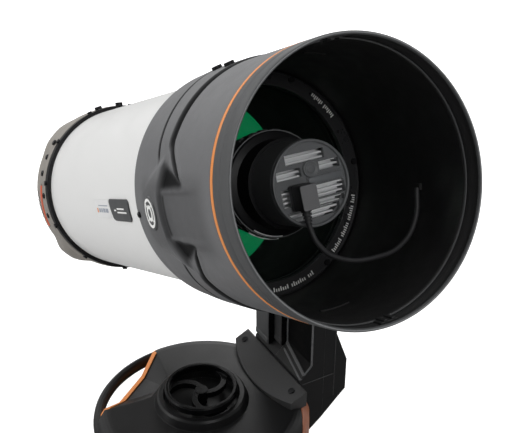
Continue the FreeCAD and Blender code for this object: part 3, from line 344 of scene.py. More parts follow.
CAST = surface("cast_metal", (0.16, 0.165, 0.17), 0.5, metallic=0.7, grain=500, grain_depth=0.08, edge=0.5)
MOTOR = surface("motor_metal", (0.20, 0.20, 0.21), 0.4, metallic=0.6, grain=900)
BATTERY = surface("battery_wrap", (0.05, 0.12, 0.35), 0.25, coat=0.4, grain=300, grain_depth=0.05)
BOARD = surface("circuit_board", (0.02, 0.12, 0.05), 0.35, grain=400, grain_depth=0.05, coat=0.2)
CABLE = surface("cable_rubber", (0.03, 0.03, 0.032), 0.5, grain_depth=0.03)
RIM = surface("rim_plastic", (0.070, 0.072, 0.074), 0.50, grain_depth=0.03, edge=1.0, edge_radius=0.0006,
              ior=1.38)
RING_FACE = surface("ring_face", (0.022, 0.022, 0.0235), 0.30, edge=1.0, edge_radius=0.0005)
RIM_BLACK = surface("rim_black", (0.020, 0.020, 0.0205), 0.45, grain=1300, grain_depth=0.03, edge=0.4)
GRIP = surface("grip_rubber", (0.02, 0.02, 0.021), 0.32, edge=1.0, edge_radius=0.0004)
PLUG = surface("plug_plastic", (0.012, 0.012, 0.013), 0.42, grain=1700, edge=0.7)
# Painted light: the plug's end face made lighter than its sides, standing in for the light falling on it.
PLUG_LIT_FACE = surface("plug_lit_face", (0.15, 0.15, 0.155), 0.42, grain=1700, edge=0.5)
BADGE_DARK = surface("badge_dark", (0.055, 0.057, 0.060), 0.32, edge=0.5)
# Painted highlight: light grey for thin lines that stand in for lit edges.
RIM_HIGHLIGHT = surface("rim_highlight", (0.21, 0.215, 0.22), 0.45, edge=0.4)
# Painted shade: the orange trim darkened for the patch at the arm root.
ROOT_SHADED_ORANGE = surface("root_shaded_orange", (0.36, 0.13, 0.07), 0.35, grain=1600, edge=0.6)
MARK = surface("pale_ink", (0.90, 0.90, 0.88), 0.45, grain_depth=0.01, edge=0.1)
LABEL = surface("label_film", (0.80, 0.80, 0.80), 0.3, grain_depth=0.002, mottle=0.02, edge=0.0)
LABEL_INK = surface("label_ink", (0.33, 0.36, 0.42), 0.4, grain_depth=0.002, edge=0.0)
# Painted light: green that glows for camera rays, standing in for the bright green seen inside the tube.
GREEN_GLOW = surface("green_painted_glow", (0.0, 0.10, 0.035), 0.6, grain=900, grain_depth=0.05, mottle=0.15, edge=0.0,
                painted_glow=1.15)
LENS = glass("lens_glass", (0.93, 0.98, 0.95))
MIRROR = surface("mirror_coating", (0.9, 0.91, 0.92), 0.03, metallic=1.0, grain=100, grain_depth=0.0,
                 mottle=0.01, edge=0.0)

MATERIALS = {
    "housing_plastic": HOUSING, "lip_plastic": LIP, "orange_plastic": ORANGE, "liner_black": LINER,
    "tube_paint": TUBE_WHITE, "black_metal": BLACK_METAL, "mount_plastic": MOUNT, "knob_plastic": KNOB,
    "button_plastic": BUTTON, "rear_plastic": REAR, "cap_plastic": CAP, "badge_plastic": BADGE,
    "bare_aluminium": FIN, "steel": STEEL, "dark_steel": DARK_STEEL, "brass": BRASS, "cast_metal": CAST,
    "motor_metal": MOTOR, "battery_wrap": BATTERY, "circuit_board": BOARD, "cable_rubber": CABLE,
    "lens_glass": LENS, "mirror_coating": MIRROR,
}


def dress_nodes():
    """Give every carried-over node the finish of its material slot."""
    for entry in frame["record"]["subparts"]:
        node = frame["nodes"][entry["node"]]
        node.data.materials.clear()
        node.data.materials.append(MATERIALS[entry["material_slot"]])


# === front housing ==============================================================
PAD_CENTRES = (1.5, 181.5)
HOUSING_R0 = 94.2
HOUSING_R1 = 95.1
BORE_R0 = 91.14
HOUSING_LONG = 176.5
BORE_GROWTH = 2.5 / HOUSING_LONG
TURN = 2 * math.pi
PAD_HIGH = 3.0
PAD_HALF = 9.0
PAD_FRONT = 187.0
PAD_SWEEP = 9.0
GROOVE_S = 203.5
GROOVE_RUN = 19.0
GROOVE_DEEP = 1.4
GROOVE_HALF = 4.2
CREST_HIGH = 0.5
SEAM_S = 182.5
SEAM_SLOPE = 0.30
SEAM_DEEP = 1.5
SEAM_HALF = 2.4
BAND_HIGH = 1.3
RECESS_DEEP = 1.5
RIDGE_HIGH = 1.1
HOLLOW_DEEP = 2.6


def pad_offset(phi_deg):
    """Degrees from the nearest side pad."""
    return np.minimum.reduce([np.abs((phi_deg - c + 180) % 360 - 180) for c in PAD_CENTRES])


def bore_r(s):
    """Inner radius of the housing, which the black liner sits against."""
    return BORE_R0 + (s - HOUSING_S0) * BORE_GROWTH


def housing_height(s, d):
    """Relief over the plain cone: side pads, hollows, recess, seam and groove, in mm."""
    half = PAD_HALF + 0.276 * np.clip(s - 138, 0, 70)
    front = pad_front(d)
    ramp = PAD_HIGH * smooth(134, 182, s)
    soft = 0.6 + 2.6 * smooth(7, 13, d)
    pad = ramp * (1 - smooth(half - 4.0, half + 2.5, d)) * (1 - smooth(front - soft, front + soft, s))
    groove_at = groove_line(d)
    groove = -GROOVE_DEEP * bump(s, groove_at, GROOVE_HALF) * smooth(12.5, 15.5, d)
    crest = CREST_HIGH * bump(s, groove_at + 6.4, 4.6) * smooth(12.5, 18, d) * (1 - smooth(26, 40, d))
    seam = -SEAM_DEEP * bump(s, seam_line(d), SEAM_HALF) * smooth(20, 26, d)
    band = BAND_HIGH * smooth(HOUSING_S0, HOUSING_S0 + 34, s) * smooth(20, 34, d)
    band = band * (1 - smooth(GROOVE_S - 3.9, GROOVE_S - 0.3, s))
    side = 1 - smooth(8.8, 11.0, d)
    recess = -RECESS_DEEP * side * smooth(front - 1.5, front + 5.0, s) * (1 - smooth(210, 264, s))
    ridge = RIDGE_HIGH * bump(d, 11.6, 3.2) * smooth(200, 212, s) * (1 - smooth(228, 264, s))
    hollow = -HOLLOW_DEEP * hollow_mask(s, d)
    return pad + groove + crest + seam + band + recess + ridge + hollow


def pad_front(d):
    """Front end of the pad, swept forward away from its middle."""
    return PAD_FRONT + PAD_SWEEP * smooth(9, 24, d)


def groove_line(d):
    """Wide groove, which swings forward near the pad."""
    return GROOVE_S + GROOVE_RUN * (1 - smooth(13, 33, d))


def seam_line(d):
    """Fine seam that runs backward as it climbs away from the pad."""
    return SEAM_S - SEAM_SLOPE * np.clip(d - 24.0, 0, 66)


def hollow_mask(s, d):
    """One inside the two teardrop hollows ahead of each pad, in front of the pad's corner."""
    front = pad_front(d)
    end = 238 - 36 * smooth(10.5, 24, d)
    mask = smooth(front - 1.5, front + 2.5, s) * (1 - smooth(end - 16, end + 2, s))
    return mask * smooth(9.5, 14.0, d) * (1 - smooth(18, 27, d))


def painted_shade_at(s, d):
    """Painted shade in sheltered places: groove, seam, hollows, the crease and edge in front of the pad; the pad
    itself is darkened a little too.
    """
    groove = bump(s, groove_line(d) - 1.3, GROOVE_HALF) ** 0.35 * smooth(12.5, 15.5, d)
    seam = bump(s, seam_line(d) - 0.5, 2.3) ** 0.35 * smooth(22, 27, d)
    crease = bump(s, 189.0, 2.6) * (1 - smooth(8, 11, d))
    corner = hollow_mask(s, d) ** 0.6
    shelter = 0.34 * (1 - smooth(11, 20, d)) * smooth(140, 158, s) * (1 - smooth(250, 274, s))
    pad_edge = 0.55 * bump(s, pad_front(d) + 0.5, 2.2) * (1 - smooth(22, 27, d))
    return np.maximum.reduce([groove, seam, 0.85 * crease, corner, pad_edge, shelter])


def front_housing():
    """Moulded housing with all its relief, on the plain cone it replaces."""
    s_out = steps((HOUSING_S0 + 0.02, 130.5, 6), (130.5, 158, 28), (158, 184, 60), (184, 232, 124),
                  (232, HOUSING_S1 - 0.05, 30))
    s_in = np.linspace(HOUSING_S1 - 0.05, HOUSING_S0 + 0.02, 8)
    phi = np.linspace(0, TURN, 900, endpoint=False)
    s_grid, p_grid = np.meshgrid(s_out, phi, indexing="ij")
    cone = HOUSING_R0 + (s_grid - HOUSING_S0) * (HOUSING_R1 - HOUSING_R0) / HOUSING_LONG
    edge = 1.6 * (1 - smooth(HOUSING_S0, HOUSING_S0 + 2.2, s_grid)) ** 2
    relief = housing_height(s_grid, pad_offset(np.degrees(p_grid)))
    outer = np.maximum(cone - edge + relief, bore_r(s_grid) + 0.3)
    si_grid, pi_grid = np.meshgrid(s_in, phi, indexing="ij")
    obj = tube_skin("housing_shell", np.vstack([s_grid, si_grid]), np.vstack([outer, bore_r(si_grid)]),
                    np.vstack([p_grid, pi_grid]), HOUSING, slot="housing_plastic", smooth_angle=50)
    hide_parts("dew_shield")
    shade_hollows(obj)


def shade_hollows(obj):
    """Stores how much painted shade each point of the housing gets, for its material to darken."""
    inverse = np.array(TUBE.inverted())
    co = np.array([v.co[:] for v in obj.data.vertices]) @ inverse[:3, :3].T + inverse[:3, 3]
    s = co[:, 0] / MM
    d = pad_offset(np.degrees(np.arctan2(co[:, 2], co[:, 1])))
    deep = np.clip(painted_shade_at(s, d), 0, 1)
    obj.data.attributes.new("painted_shade", "FLOAT", "POINT").data.foreach_set("value", deep.astype(np.float32))


def front_rim():
    """Grey outer rim with a rolled edge in light grey as a painted highlight, the black ring inside it and two cap
    catches.
    """
    s0 = LIP_S0 + 0.03
    rim = [(s0, 94.05), (s0, 94.85), (s0 + 0.5, 94.98), (290.0, 95.1), (291.2, 94.7), (292.4, 94.7),
           (293.6, 95.1), (302.8, 95.1), (304.2, 94.95), (304.9, 94.5), (LIP_S1, 94.0),
           (304.9, 93.3), (304.3, 92.75), (303.3, 92.6), (302.7, 92.9), (302.6, 94.05)]
    obj = lathe_tube("rim_outer", rim, 720, RIM, slot="lip_plastic", smooth_angle=35)
    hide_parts("shield_lip")
    inner = [(s0, 93.66), (s0, 94.02), (302.5, 94.0), (302.3, 93.45), (296.6, 93.4), (296.2, 93.2),
             (290.6, 93.2), (290.2, 93.66)]
    obj = lathe_tube("rim_inner", inner, 720, RIM_BLACK, slot="liner_black", smooth_angle=35)
    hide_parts("shield_lip")
    # Light grey edge ring: a painted highlight line round the front of the rim.
    edge = [(304.5, 93.3), (LIP_S1 + 0.1, 93.5), (LIP_S1 + 0.15, 94.1), (304.5, 94.6)]
    obj = lathe_tube("rim_highlight", edge, 720, RIM_HIGHLIGHT, slot="lip_plastic", smooth_angle=35)
    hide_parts("shield_lip")
    for k, angle in enumerate((89, 271)):
        points = [(-7, 0), (7, 0), (7, 1.4), (4.5, 1.4), (4.5, 2.6), (2.0, 2.6), (2.0, 1.4), (-2.0, 1.4),
                  (-2.0, 2.6), (-4.5, 2.6), (-4.5, 1.4), (-7, 1.4)]
        section = [(93.25 - h, w) for w, h in points]
        catch = prism(section, 290.5, 300.5, 0.4)
        obj = placed("cap_catch_%d" % k, catch, angle, RIM_BLACK, slot="liner_black")
        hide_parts("shield_lip")


LINER_REAR = 160.6
LINER_FRONT = 288.7
STOP_S = 236.0


def liner():
    """Matt black cone with a rolled front edge and two short stops inside."""
    s0 = LINER_REAR
    s1 = LINER_FRONT
    r1 = bore_r(s1)
    profile = [(s0, bore_r(s0) - 1.2), (s0, bore_r(s0) - 0.1), (s1, r1 - 0.1), (s1 + 1.2, r1 - 0.5),
               (s1 + 1.4, r1 - 1.1), (s1 + 0.9, r1 - 1.6), (s1 - 0.2, r1 - 1.7), (s1 - 1.2, r1 - 1.2)]
    obj = lathe_tube("liner_cone", profile, 480, LINER, slot="liner_black", smooth_angle=60)
    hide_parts("shield_liner")
    # Bead in the lighter rim plastic with lightened edges: the thin light line inside the rim, a painted
    # highlight.
    bead = [(s1 + 1.3, 92.3), (s1 + 1.5, 92.9), (s1 + 2.1, 93.1), (s1 + 2.7, 92.8), (s1 + 2.8, 92.2),
            (s1 + 2.4, 91.8), (s1 + 1.6, 91.8)]
    lathe_tube("liner_bead", bead, 480, RIM, slot="lip_plastic", smooth_angle=60)
    for k, (a0, a1) in enumerate(((70, 81), (262, 277))):
        strip = arc_bar(bore_r(STOP_S) - 2.1, bore_r(STOP_S) - 0.9, STOP_S - 1.4, STOP_S + 1.4, a0, a1)
        mesh_object("liner_stop_%d" % k, *strip, LINER, "tube", TUBE, slot="liner_black")


def arc_bar(r0, r1, s0, s1, a0, a1, count=None):
    """Bar of rectangular section bent round the optical axis; returns verts and faces."""
    count = count or max(3, int(abs(a1 - a0) / 1.5) + 1)
    angles = np.radians(np.linspace(a0, a1, count))
    ring = np.array([(s0, r0), (s0, r1), (s1, r1), (s1, r0)])
    verts = []
    for a in angles:
        verts += [(s, r * math.cos(a), r * math.sin(a)) for s, r in ring]
    return verts, capped(count, 4)


def prism(section, s0, s1, bevel):
    """Prism along the optical axis with its ends slightly drawn in; section is (radial, across)."""
    pts = np.array(section, float)
    mid = pts.mean(0)
    size = np.abs(pts - mid).max()
    levels = [(s0, 1 - bevel / size), (s0 + bevel, 1.0), (s1 - bevel, 1.0), (s1, 1 - bevel / size)]
    verts = []
    for s, k in levels:
        verts += [(s, *(mid + (q - mid) * k)) for q in pts]
    return verts, capped(len(levels), len(pts))


def placed(name, shape, angle, material, body="tube", slot=None):
    """Shape built at the +Y side of the tube, turned about the optical axis."""
    turn = Matrix.Rotation(math.radians(angle), 4, "X")
    return mesh_object(name, shape[0], shape[1], material, body, TUBE @ turn, slot)


# === inside the tube ============================================================
GREEN_START = -75.0
GREEN_END = 30.0
GREEN_ARC = (-72.0, 58.0)
SLEEVE_R = 85.95


def inner_sleeves():
    """Green sheet that glows for camera rays as painted light round the light path behind the lens, black in front
    of it.
    """
    sleeve = [(GREEN_END + 0.2, 84.9), (GREEN_END + 0.2, SLEEVE_R), (129.5, SLEEVE_R), (129.5, 84.9)]
    lathe_tube("sleeve_black", sleeve, 240, LINER, slot="liner_black")
    backing = [(-140.0, 85.3), (-140.0, SLEEVE_R), (GREEN_END, SLEEVE_R), (GREEN_END, 85.3)]
    lathe_tube("sleeve_rear", backing, 240, LINER, slot="liner_black")
    # Painted light: the green sheet glows for the camera, though it is no lamp.
    glow_sheet = arc_bar(84.7, 85.2, GREEN_START, GREEN_END, *GREEN_ARC)
    mesh_object("green_glow_sheet", *glow_sheet, GREEN_GLOW, "tube", TUBE)


RING_FACE_S = 160.0
TICK_GROUPS = ((28, 45, 1.2), (307, 342, 1.25), (264, 290, 1.4))
TICK_OUTER = 86.2
TICK_LONG = 3.6
TICK_SHORT = 2.5
TICK_WIDE = 0.74


def ring_marks():
    """Short plain ticks in three groups on the face of the corrector ring, and its two edge lines, whose lightened
    edges are painted highlight lines.
    """
    ticks = []
    for a0, a1, gap in TICK_GROUPS:
        for k, a in enumerate(np.arange(a0, a1, gap)):
            if k % 8 == 7:
                continue
            inner = TICK_OUTER - (TICK_SHORT if k % 3 else TICK_LONG)
            ticks.append(arc_bar(inner, TICK_OUTER, RING_FACE_S - 0.05, RING_FACE_S + 0.2,
                                 a, a + TICK_WIDE, 2))
    mesh_object("ring_ticks", *merged(ticks), MARK, "tube", TUBE, slot="badge_plastic")
    s0 = RING_FACE_S - 0.1
    s1 = RING_FACE_S + 0.35
    # Thin rings whose lightened edges make painted highlight lines at the ring's edges.
    for name, r in (("ring_edge_inner", 78.6), ("ring_edge_outer", 88.2)):
        line = [(s0, r - 0.3), (s0, r + 0.3), (s1, r + 0.2), (s1, r - 0.2)]
        lathe_tube(name, line, 360, GRIP, slot="black_metal")


# === camera =====================================================================
MEDALLION_Y = 1.5
MEDALLION_Z = 10.0
CAP_BAR_MID = (11.8, 1.7)


def cap_details():
    """Plain embossed medallion, raised rim and bar on the camera cap."""
    top = CAP_S1
    button = [(top - 0.4, 0.02), (top - 0.4, 6.2), (top + 0.5, 6.0), (top + 0.75, 5.5), (top + 0.5, 5.0),
              (top + 0.2, 4.6), (top + 0.2, 3.4), (top + 0.7, 2.9), (top + 0.85, 2.2), (top + 0.85, 0.02)]
    p = np.array(button)
    count = 64
    phi = np.linspace(0, TURN, count, endpoint=False)
    s = np.repeat(p[:, :1], count, 1)
    r = np.repeat(p[:, 1:], count, 1)
    verts = np.stack([s, MEDALLION_Y + r * np.cos(phi), MEDALLION_Z + r * np.sin(phi)], -1)
    mesh_object("cap_medallion", verts, capped(len(p), count), CAP, "tube", TUBE, slot="cap_plastic")
    rim = [(top - 0.3, 28.9), (top + 0.9, 29.2), (top + 1.3, 29.7), (top + 1.3, 30.5), (top + 0.9, 31.0),
           (top - 0.3, 31.15)]
    lathe_tube("cap_rim", rim, 160, CAP, slot="cap_plastic")
    outline = rounded([(-2.0, -0.5), (25.6, -0.5), (25.6, 3.9), (-2.0, 3.9)], 1.2)
    plate = [(top + 0.75 + h, *q) for h, k in ((0, 1.0), (0.35, 1.0), (0.5, 0.97))
             for q in (np.array(outline) - CAP_BAR_MID) * k + CAP_BAR_MID]
    mesh_object("cap_bar_plate", plate, capped(3, len(outline)), BADGE, "tube", TUBE, slot="badge_plastic")


LOCK_R = 39.3
GRIP_PITCH = 9.0
LOCK_CLIPS = ((118, 150), (206, 238))


def lock_grip():
    """Short ribs, two light edge beads as painted highlights and two spring clips round the lock ring."""
    s0, s1 = tube_reach("camera_lock_ring")
    ribs = [arc_bar(LOCK_R - 0.3, LOCK_R + 0.7, s0 + 1.5, s1 - 1.5, a, a + 0.45 * GRIP_PITCH, 4)
            for a in np.arange(0, 360, GRIP_PITCH)]
    mesh_object("lock_grip", *merged(ribs), GRIP, "lock_ring", TUBE, slot="black_metal")
    # Light grey beads: painted highlight lines at both edges of the ring.
    for name, s in (("lock_bead_rear", s0 + 0.9), ("lock_bead_front", s1 - 0.9)):
        bead = [(s - 0.45, LOCK_R - 0.5), (s - 0.45, LOCK_R + 0.2), (s, LOCK_R + 0.5),
                (s + 0.45, LOCK_R + 0.2), (s + 0.45, LOCK_R - 0.5)]
        lathe_tube(name, bead, 240, RIM_HIGHLIGHT, "lock_ring", slot="black_metal")
    for k, (a0, a1) in enumerate(LOCK_CLIPS):
        clip = arc_bar(LOCK_R + 0.2, LOCK_R + 1.1, s1 - 4.6, s1 - 3.4, a0, a1)
        mesh_object("lock_clip_%d" % k, *clip, FIN, "lock_ring", TUBE, slot="black_metal")


SHOULDER_R = 41.0
SHOULDER_S0 = 175.4
SHOULDER_S1 = 181.4
SHOULDER_PADS = (206.0, 476.0, 15.0)
PAD_ARC = 8.5
SHOULDER_CLIP = (228.0, 264.0)


def shoulder_details():
    """Raised pads, two light edge lines as painted highlights and a wire clip round the shoulder of the camera."""
    pads = [arc_bar(SHOULDER_R - 0.2, SHOULDER_R + 0.9, SHOULDER_S0, SHOULDER_S1, a, a + PAD_ARC, 6)
            for a in np.arange(*SHOULDER_PADS)]
    mesh_object("shoulder_pads", *merged(pads), GRIP, "tube", TUBE, slot="black_metal")
    # Light grey lines: painted highlights at the shoulder's edges.
    for name, s, r in (("shoulder_line_rear", 174.3, 40.9), ("shoulder_line_front", 183.2, 40.7)):
        line = [(s - 0.35, r - 0.4), (s - 0.3, r + 0.15), (s, r + 0.35), (s + 0.3, r + 0.15),
                (s + 0.35, r - 0.4)]
        lathe_tube(name, line, 240, RIM_HIGHLIGHT, slot="black_metal")
    for k, (s, r) in enumerate(((178.0, 42.2), (184.9, 39.8))):
        clip = arc_bar(r - 0.4, r + 0.4, s - 0.4, s + 0.4, *SHOULDER_CLIP)
        mesh_object("shoulder_clip_%d" % k, *clip, FIN, "tube", TUBE, slot="black_metal")


ROOT_PATCH = ((64.0, 30.0), (102.0, 37.0), (108.0, 40.0), (113.0, 45.0), (117.0, 54.0))
ROOT_EDGE_AZ = 62.5
DRUM_TOP_Z = 120.0
DRUM_ROUND_R = 18.0
DRUM_WALL_R = 118.0


def root_patch():
    """Tapered facing on the drum in front of the arm root, running up over the shoulder, in orange darkened as
    painted shade.
    """
    rows = []
    for z in np.linspace(ROOT_PATCH[0][0], ROOT_PATCH[-1][0], 28):
        low = np.interp(z, *zip(*ROOT_PATCH))
        drop = max(0.0, z - (DRUM_TOP_Z - DRUM_ROUND_R))
        r = DRUM_WALL_R - DRUM_ROUND_R + math.sqrt(DRUM_ROUND_R ** 2 - drop ** 2)
        az = np.radians(np.linspace(low, ROOT_EDGE_AZ, 14))
        outer = [((r + 0.9) * math.cos(a), (r + 0.9) * math.sin(a), z + 0.3) for a in az]
        inner = [((r - 0.8) * math.cos(a), (r - 0.8) * math.sin(a), z) for a in az[::-1]]
        rows.append(outer + inner)
    verts = [v for row in rows for v in row]
    mesh_object("root_patch", verts, capped(len(rows), len(rows[0])), ROOT_SHADED_ORANGE, "fork")


PLUG_Y = -12.8
PLUG_Z = -7.1
PLUG_HIGH = 17.5
PLUG_EXIT = 8.0
PLUG_HALF_Y = 6.7
PLUG_HALF_Z = 9.0
CORD_R = 1.9
CORD_TURNS = ((300, 72, 247), (316, 84, 246), (330, 88.4, 244), (345, 88.8, 240))


def plug_and_cord():
    """Tall right-angle plug, ribbed boot and the cord that runs down and round the wall."""
    top = CAP_S1
    outline = rounded([(-PLUG_HALF_Y, -PLUG_HALF_Z), (PLUG_HALF_Y, -PLUG_HALF_Z),
                       (PLUG_HALF_Y, PLUG_HALF_Z), (-PLUG_HALF_Y, PLUG_HALF_Z)], 1.8)
    levels = ((-3.0, 0.45), (0.3, 0.45), (0.31, 0.97), (1.0, 1.0), (5.2, 1.0), (5.5, 0.965), (6.1, 0.965),
              (6.4, 1.0), (PLUG_HIGH - 1.6, 1.0), (PLUG_HIGH - 0.4, 0.97), (PLUG_HIGH, 0.92),
              (PLUG_HIGH, 0.90), (PLUG_HIGH - 0.25, 0.89))
    verts = []
    for h, k in levels:
        verts += [(top + h, PLUG_Y + y * k, PLUG_Z + z * k) for y, z in outline]
    n = len(outline)
    faces = capped(len(levels), n)
    obj = mesh_object("plug_shell", verts, faces, PLUG, "tube", TUBE, slot="cable_rubber", smooth_angle=30)
    # Painted light: the faces round and over the plug's end get the lighter face material.
    obj.data.materials.append(PLUG_LIT_FACE)
    for face in obj.data.polygons[n * (len(levels) - 4):]:
        face.material_index = 1
    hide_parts("camera_cable")
    profile = [(0.0, 0.0), (0.0, 3.8)]
    for k in range(4):
        z = 0.6 + 2.4 * k
        wide = 3.7 - 0.3 * k
        profile += [(z, wide), (z + 1.3, wide), (z + 1.5, wide - 0.9), (z + 2.2, wide - 0.9)]
    profile += [(10.4, 2.4), (11.0, 2.1), (11.0, 0.0)]
    rings = np.array(profile)
    phi = np.linspace(0, TURN, 32, endpoint=False)
    z = np.repeat(rings[:, :1], 32, 1)
    r = np.repeat(rings[:, 1:], 32, 1)
    verts = np.stack([top + PLUG_EXIT + r * np.cos(phi), PLUG_Y + r * np.sin(phi), PLUG_Z - 8.6 - z], -1)
    obj = mesh_object("plug_boot", verts, grid_faces(len(rings), 32, False, True), CABLE, "tube", TUBE,
                      slot="cable_rubber", smooth_angle=30)
    path = [(top + PLUG_EXIT, PLUG_Y, -25.0), (top + PLUG_EXIT, PLUG_Y + 0.6, -30.0),
            (top + 8.5, -9.0, -41.0), (top + 9, 3, -54)]
    for angle, radius, s in CORD_TURNS:
        path.append((s, radius * math.cos(math.radians(angle)), radius * math.sin(math.radians(angle))))
    cord("camera_cord", path, CORD_R)
    end = arc_bar(89.0, 91.5, 237.2, 242.8, 344.2, 347.2)
    mesh_object("cord_clip", *end, LINER, "tube", TUBE, slot="liner_black")


def cord(name, path, radius):
    """Smooth round cord through the points, made into a mesh."""
    curve = bpy.data.curves.new(name + "_path", "CURVE")
    curve.dimensions = "3D"
    curve.bevel_depth = radius * MM
    curve.bevel_resolution = 5
    curve.resolution_u = 10
    curve.use_fill_caps = True
    spline = curve.splines.new("BEZIER")
    spline.bezier_points.add(len(path) - 1)
    for point, where in zip(spline.bezier_points, path):
        point.co = TUBE @ (Vector(where) * MM)
        point.handle_left_type = point.handle_right_type = "AUTO"
    obj = bpy.data.objects.new(name + "_path", curve)
    bpy.context.scene.collection.objects.link(obj)
    bpy.context.view_layer.update()
    mesh = bpy.data.meshes.new_from_object(obj.evaluated_get(bpy.context.evaluated_depsgraph_get()))
    bpy.data.objects.remove(obj)
    made = bpy.data.objects.new(name, mesh)
    bpy.context.scene.collection.objects.link(made)
    finish_mesh(made, 50)
    mesh.materials.clear()
    mesh.materials.append(CABLE)
    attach(made, "tube")


# === badges =====================================================================
PAD_FACE = 96.0
PAD_SLOPE = 0.065
BADGE_S = 168.5
BADGE_INK = 1.55
PLATE_R = 89.0
PLATE_REAR = 38.0
PLATE_FRONT = 92.0
PLATE_HALF_ARC = 6.2
PLATE_SLANT = 5.0
PLATE_BARS = ((52, 57, 1.3), (60, 84, 2.4), (60, 79, 0.4))
LABEL_R = 88.1
LABEL_BARS = ((2, 7, 0.8, 3.2), (8.5, 13, 0.8, 3.2), (14.5, 21, 0.8, 3.2), (22.5, 30, 0.8, 3.2),
              (2, 30, -1.2, -0.6))


def badge_disc(rings, phi, filled):
    """Disc or ring on the slope of the pad from (height, radius) points."""
    h = np.repeat(rings[:, :1], len(phi), 1)
    r = np.repeat(rings[:, 1:], len(phi), 1)
    pos = BADGE_S + r * np.cos(phi)
    verts = np.stack([pos, PAD_FACE + h + (pos - BADGE_S) * PAD_SLOPE, r * np.sin(phi)], -1)
    faces = grid_faces(len(rings), len(phi), not filled, True)
    if filled:
        faces.append([k for k in range(len(phi) - 1, -1, -1)])
    return verts, faces


def pad_badge():
    """Plain round badge with a target mark, on the housing pad away from the arm."""
    rings = np.array([(1.3, 0.02), (1.3, 3.0), (1.6, 3.3), (1.6, 11.4), (1.2, 12.4), (0.0, 12.8)])
    phi = np.linspace(0, TURN, 96, endpoint=False)
    obj = placed("pad_badge", badge_disc(rings, phi, True), 180, BADGE_DARK, slot="badge_plastic")
    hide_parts("badges")
    bars = merged([(star_bar(PAD_FACE + BADGE_INK, 90 * k + 45), BAR_FACES) for k in range(4)])
    placed("pad_badge_mark", bars, 180, MARK, slot="badge_plastic")
    for name, r0, r1 in (("pad_badge_inner", 3.4, 6.2), ("pad_badge_outer", 8.8, 11.1)):
        low = BADGE_INK
        high = BADGE_INK + 0.3
        rings = np.array([(low, r0), (high, r0 + 0.1), (high, r1 - 0.1), (low, r1)])
        placed(name, badge_disc(rings, phi, False), 180, MARK, slot="badge_plastic")


def tube_badge():
    """Dark plate with slanted ends and plain bars, bent round the tube."""
    s = np.linspace(0, 1, 30)
    a = np.linspace(-PLATE_HALF_ARC, PLATE_HALF_ARC, 24)
    verts = []
    for layer, shrink in ((88.05, 0.0), (88.9, 0.0), (89.1, 0.6)):
        for v in a:
            slant = PLATE_SLANT * (v / (2 * PLATE_HALF_ARC) + 0.5)
            corner = 3.5 * max(0.0, (abs(v) - 4.2) / 2.0) ** 2
            lo = PLATE_REAR + slant + corner + shrink
            hi = PLATE_FRONT - corner - shrink
            angle = math.radians(1.25 + v * (1 - shrink * 0.03))
            for u in s:
                verts.append((lo + (hi - lo) * u, layer * math.cos(angle), layer * math.sin(angle)))
    rows, cols = len(a), len(s)
    sheet = grid_faces(rows, cols, False, False)
    top = [[i + 2 * rows * cols for i in q] for q in sheet]
    loop = border(rows, cols)
    walls = []
    for base in (0, rows * cols):
        up = base + rows * cols
        for k, i in enumerate(loop):
            nxt = loop[(k + 1) % len(loop)]
            walls.append([base + i, base + nxt, up + nxt, up + i])
    plate = (verts, [q[::-1] for q in sheet] + walls + top)
    obj = placed("tube_badge", plate, 180, BADGE_DARK, slot="badge_plastic")
    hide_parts("badges")
    bars = [arc_bar(PLATE_R, PLATE_R + 0.25, s0, s1, v - 0.45, v + 0.45, 3) for s0, s1, v in PLATE_BARS]
    placed("tube_badge_bars", merged(bars), 180, MARK, slot="badge_plastic")


def tube_label():
    """Thin pale label beside the plate with an orange block and plain grey bars."""
    sheet = arc_bar(LABEL_R - 0.08, LABEL_R + 0.02, -8.0, 34.0, -4.6, 6.4, 9)
    placed("tube_label", sheet, 180, LABEL, slot="badge_plastic")
    block = arc_bar(LABEL_R, LABEL_R + 0.1, -4.0, -0.5, 0.6, 3.4, 3)
    placed("tube_label_block", block, 180, ORANGE, slot="orange_plastic")
    bars = [arc_bar(LABEL_R, LABEL_R + 0.1, *place, 3) for place in LABEL_BARS]
    placed("tube_label_bars", merged(bars), 180, LABEL_INK, slot="badge_plastic")


BAR_FACES = [[0, 1, 2, 3], [7, 6, 5, 4], [0, 4, 5, 1], [1, 5, 6, 2], [2, 6, 7, 3], [3, 7, 4, 0]]


def star_bar(base, angle_deg):
    """Corners of one radial bar of the plain target mark on the pad badge."""
    a = math.radians(angle_deg)
    along = np.array((math.cos(a), math.sin(a)))
    side = np.array((-math.sin(a), math.cos(a)))
    out = []
    for h in (0.0, 0.35):
        for r, w in ((6.1, -0.9), (6.1, 0.9), (9.4, 0.45), (9.4, -0.45)):
            p = along * r + side * w
            out.append((BADGE_S + p[0], base + h + p[0] * PAD_SLOPE, p[1]))
    return out


# === rear cover =================================================================
REAR_LOBES = ((220, 11, 1.0), (128, 13, 0.45), (40, 11, 1.0), (312, 13, 0.45))
VENT_HALF = 11.0
VENT_PITCH = 3.1
VENT_DEEP = 2.2
VENT_REAR = -227.0
VENT_FRONT = -218.6
INLAY_S = -209.0
INLAY_SLOPE = -0.40
INLAY_HALF_ARC = 14.5
INLAY_CENTRES = (181.0, 1.0)
SKIRT_REAR = -229.5
SKIRT_FRONT = -187.15
LOBE_HIGH = 5.5
REAR_SCREWS = ((-192.0, 136), (-200.0, 146.4), (-201.5, 158), (-192.5, 173.5), (-195.0, 187.5))


def lobe(phi_deg):
    """How far each part of the skirt swells, 0 to 1."""
    total = np.zeros_like(phi_deg)
    for centre, half, size in REAR_LOBES:
        d = np.abs((phi_deg - centre + 180) % 360 - 180)
        total = np.maximum(total, size * (1 - smooth(half * 0.35, half * 1.5, d)))
    return total


def cover_r(s):
    """Outer radius of the carried-over rear cell."""
    return np.interp(s, (-234, -226, -214, -187), (78.0, 86.5, 91.0, 91.5))


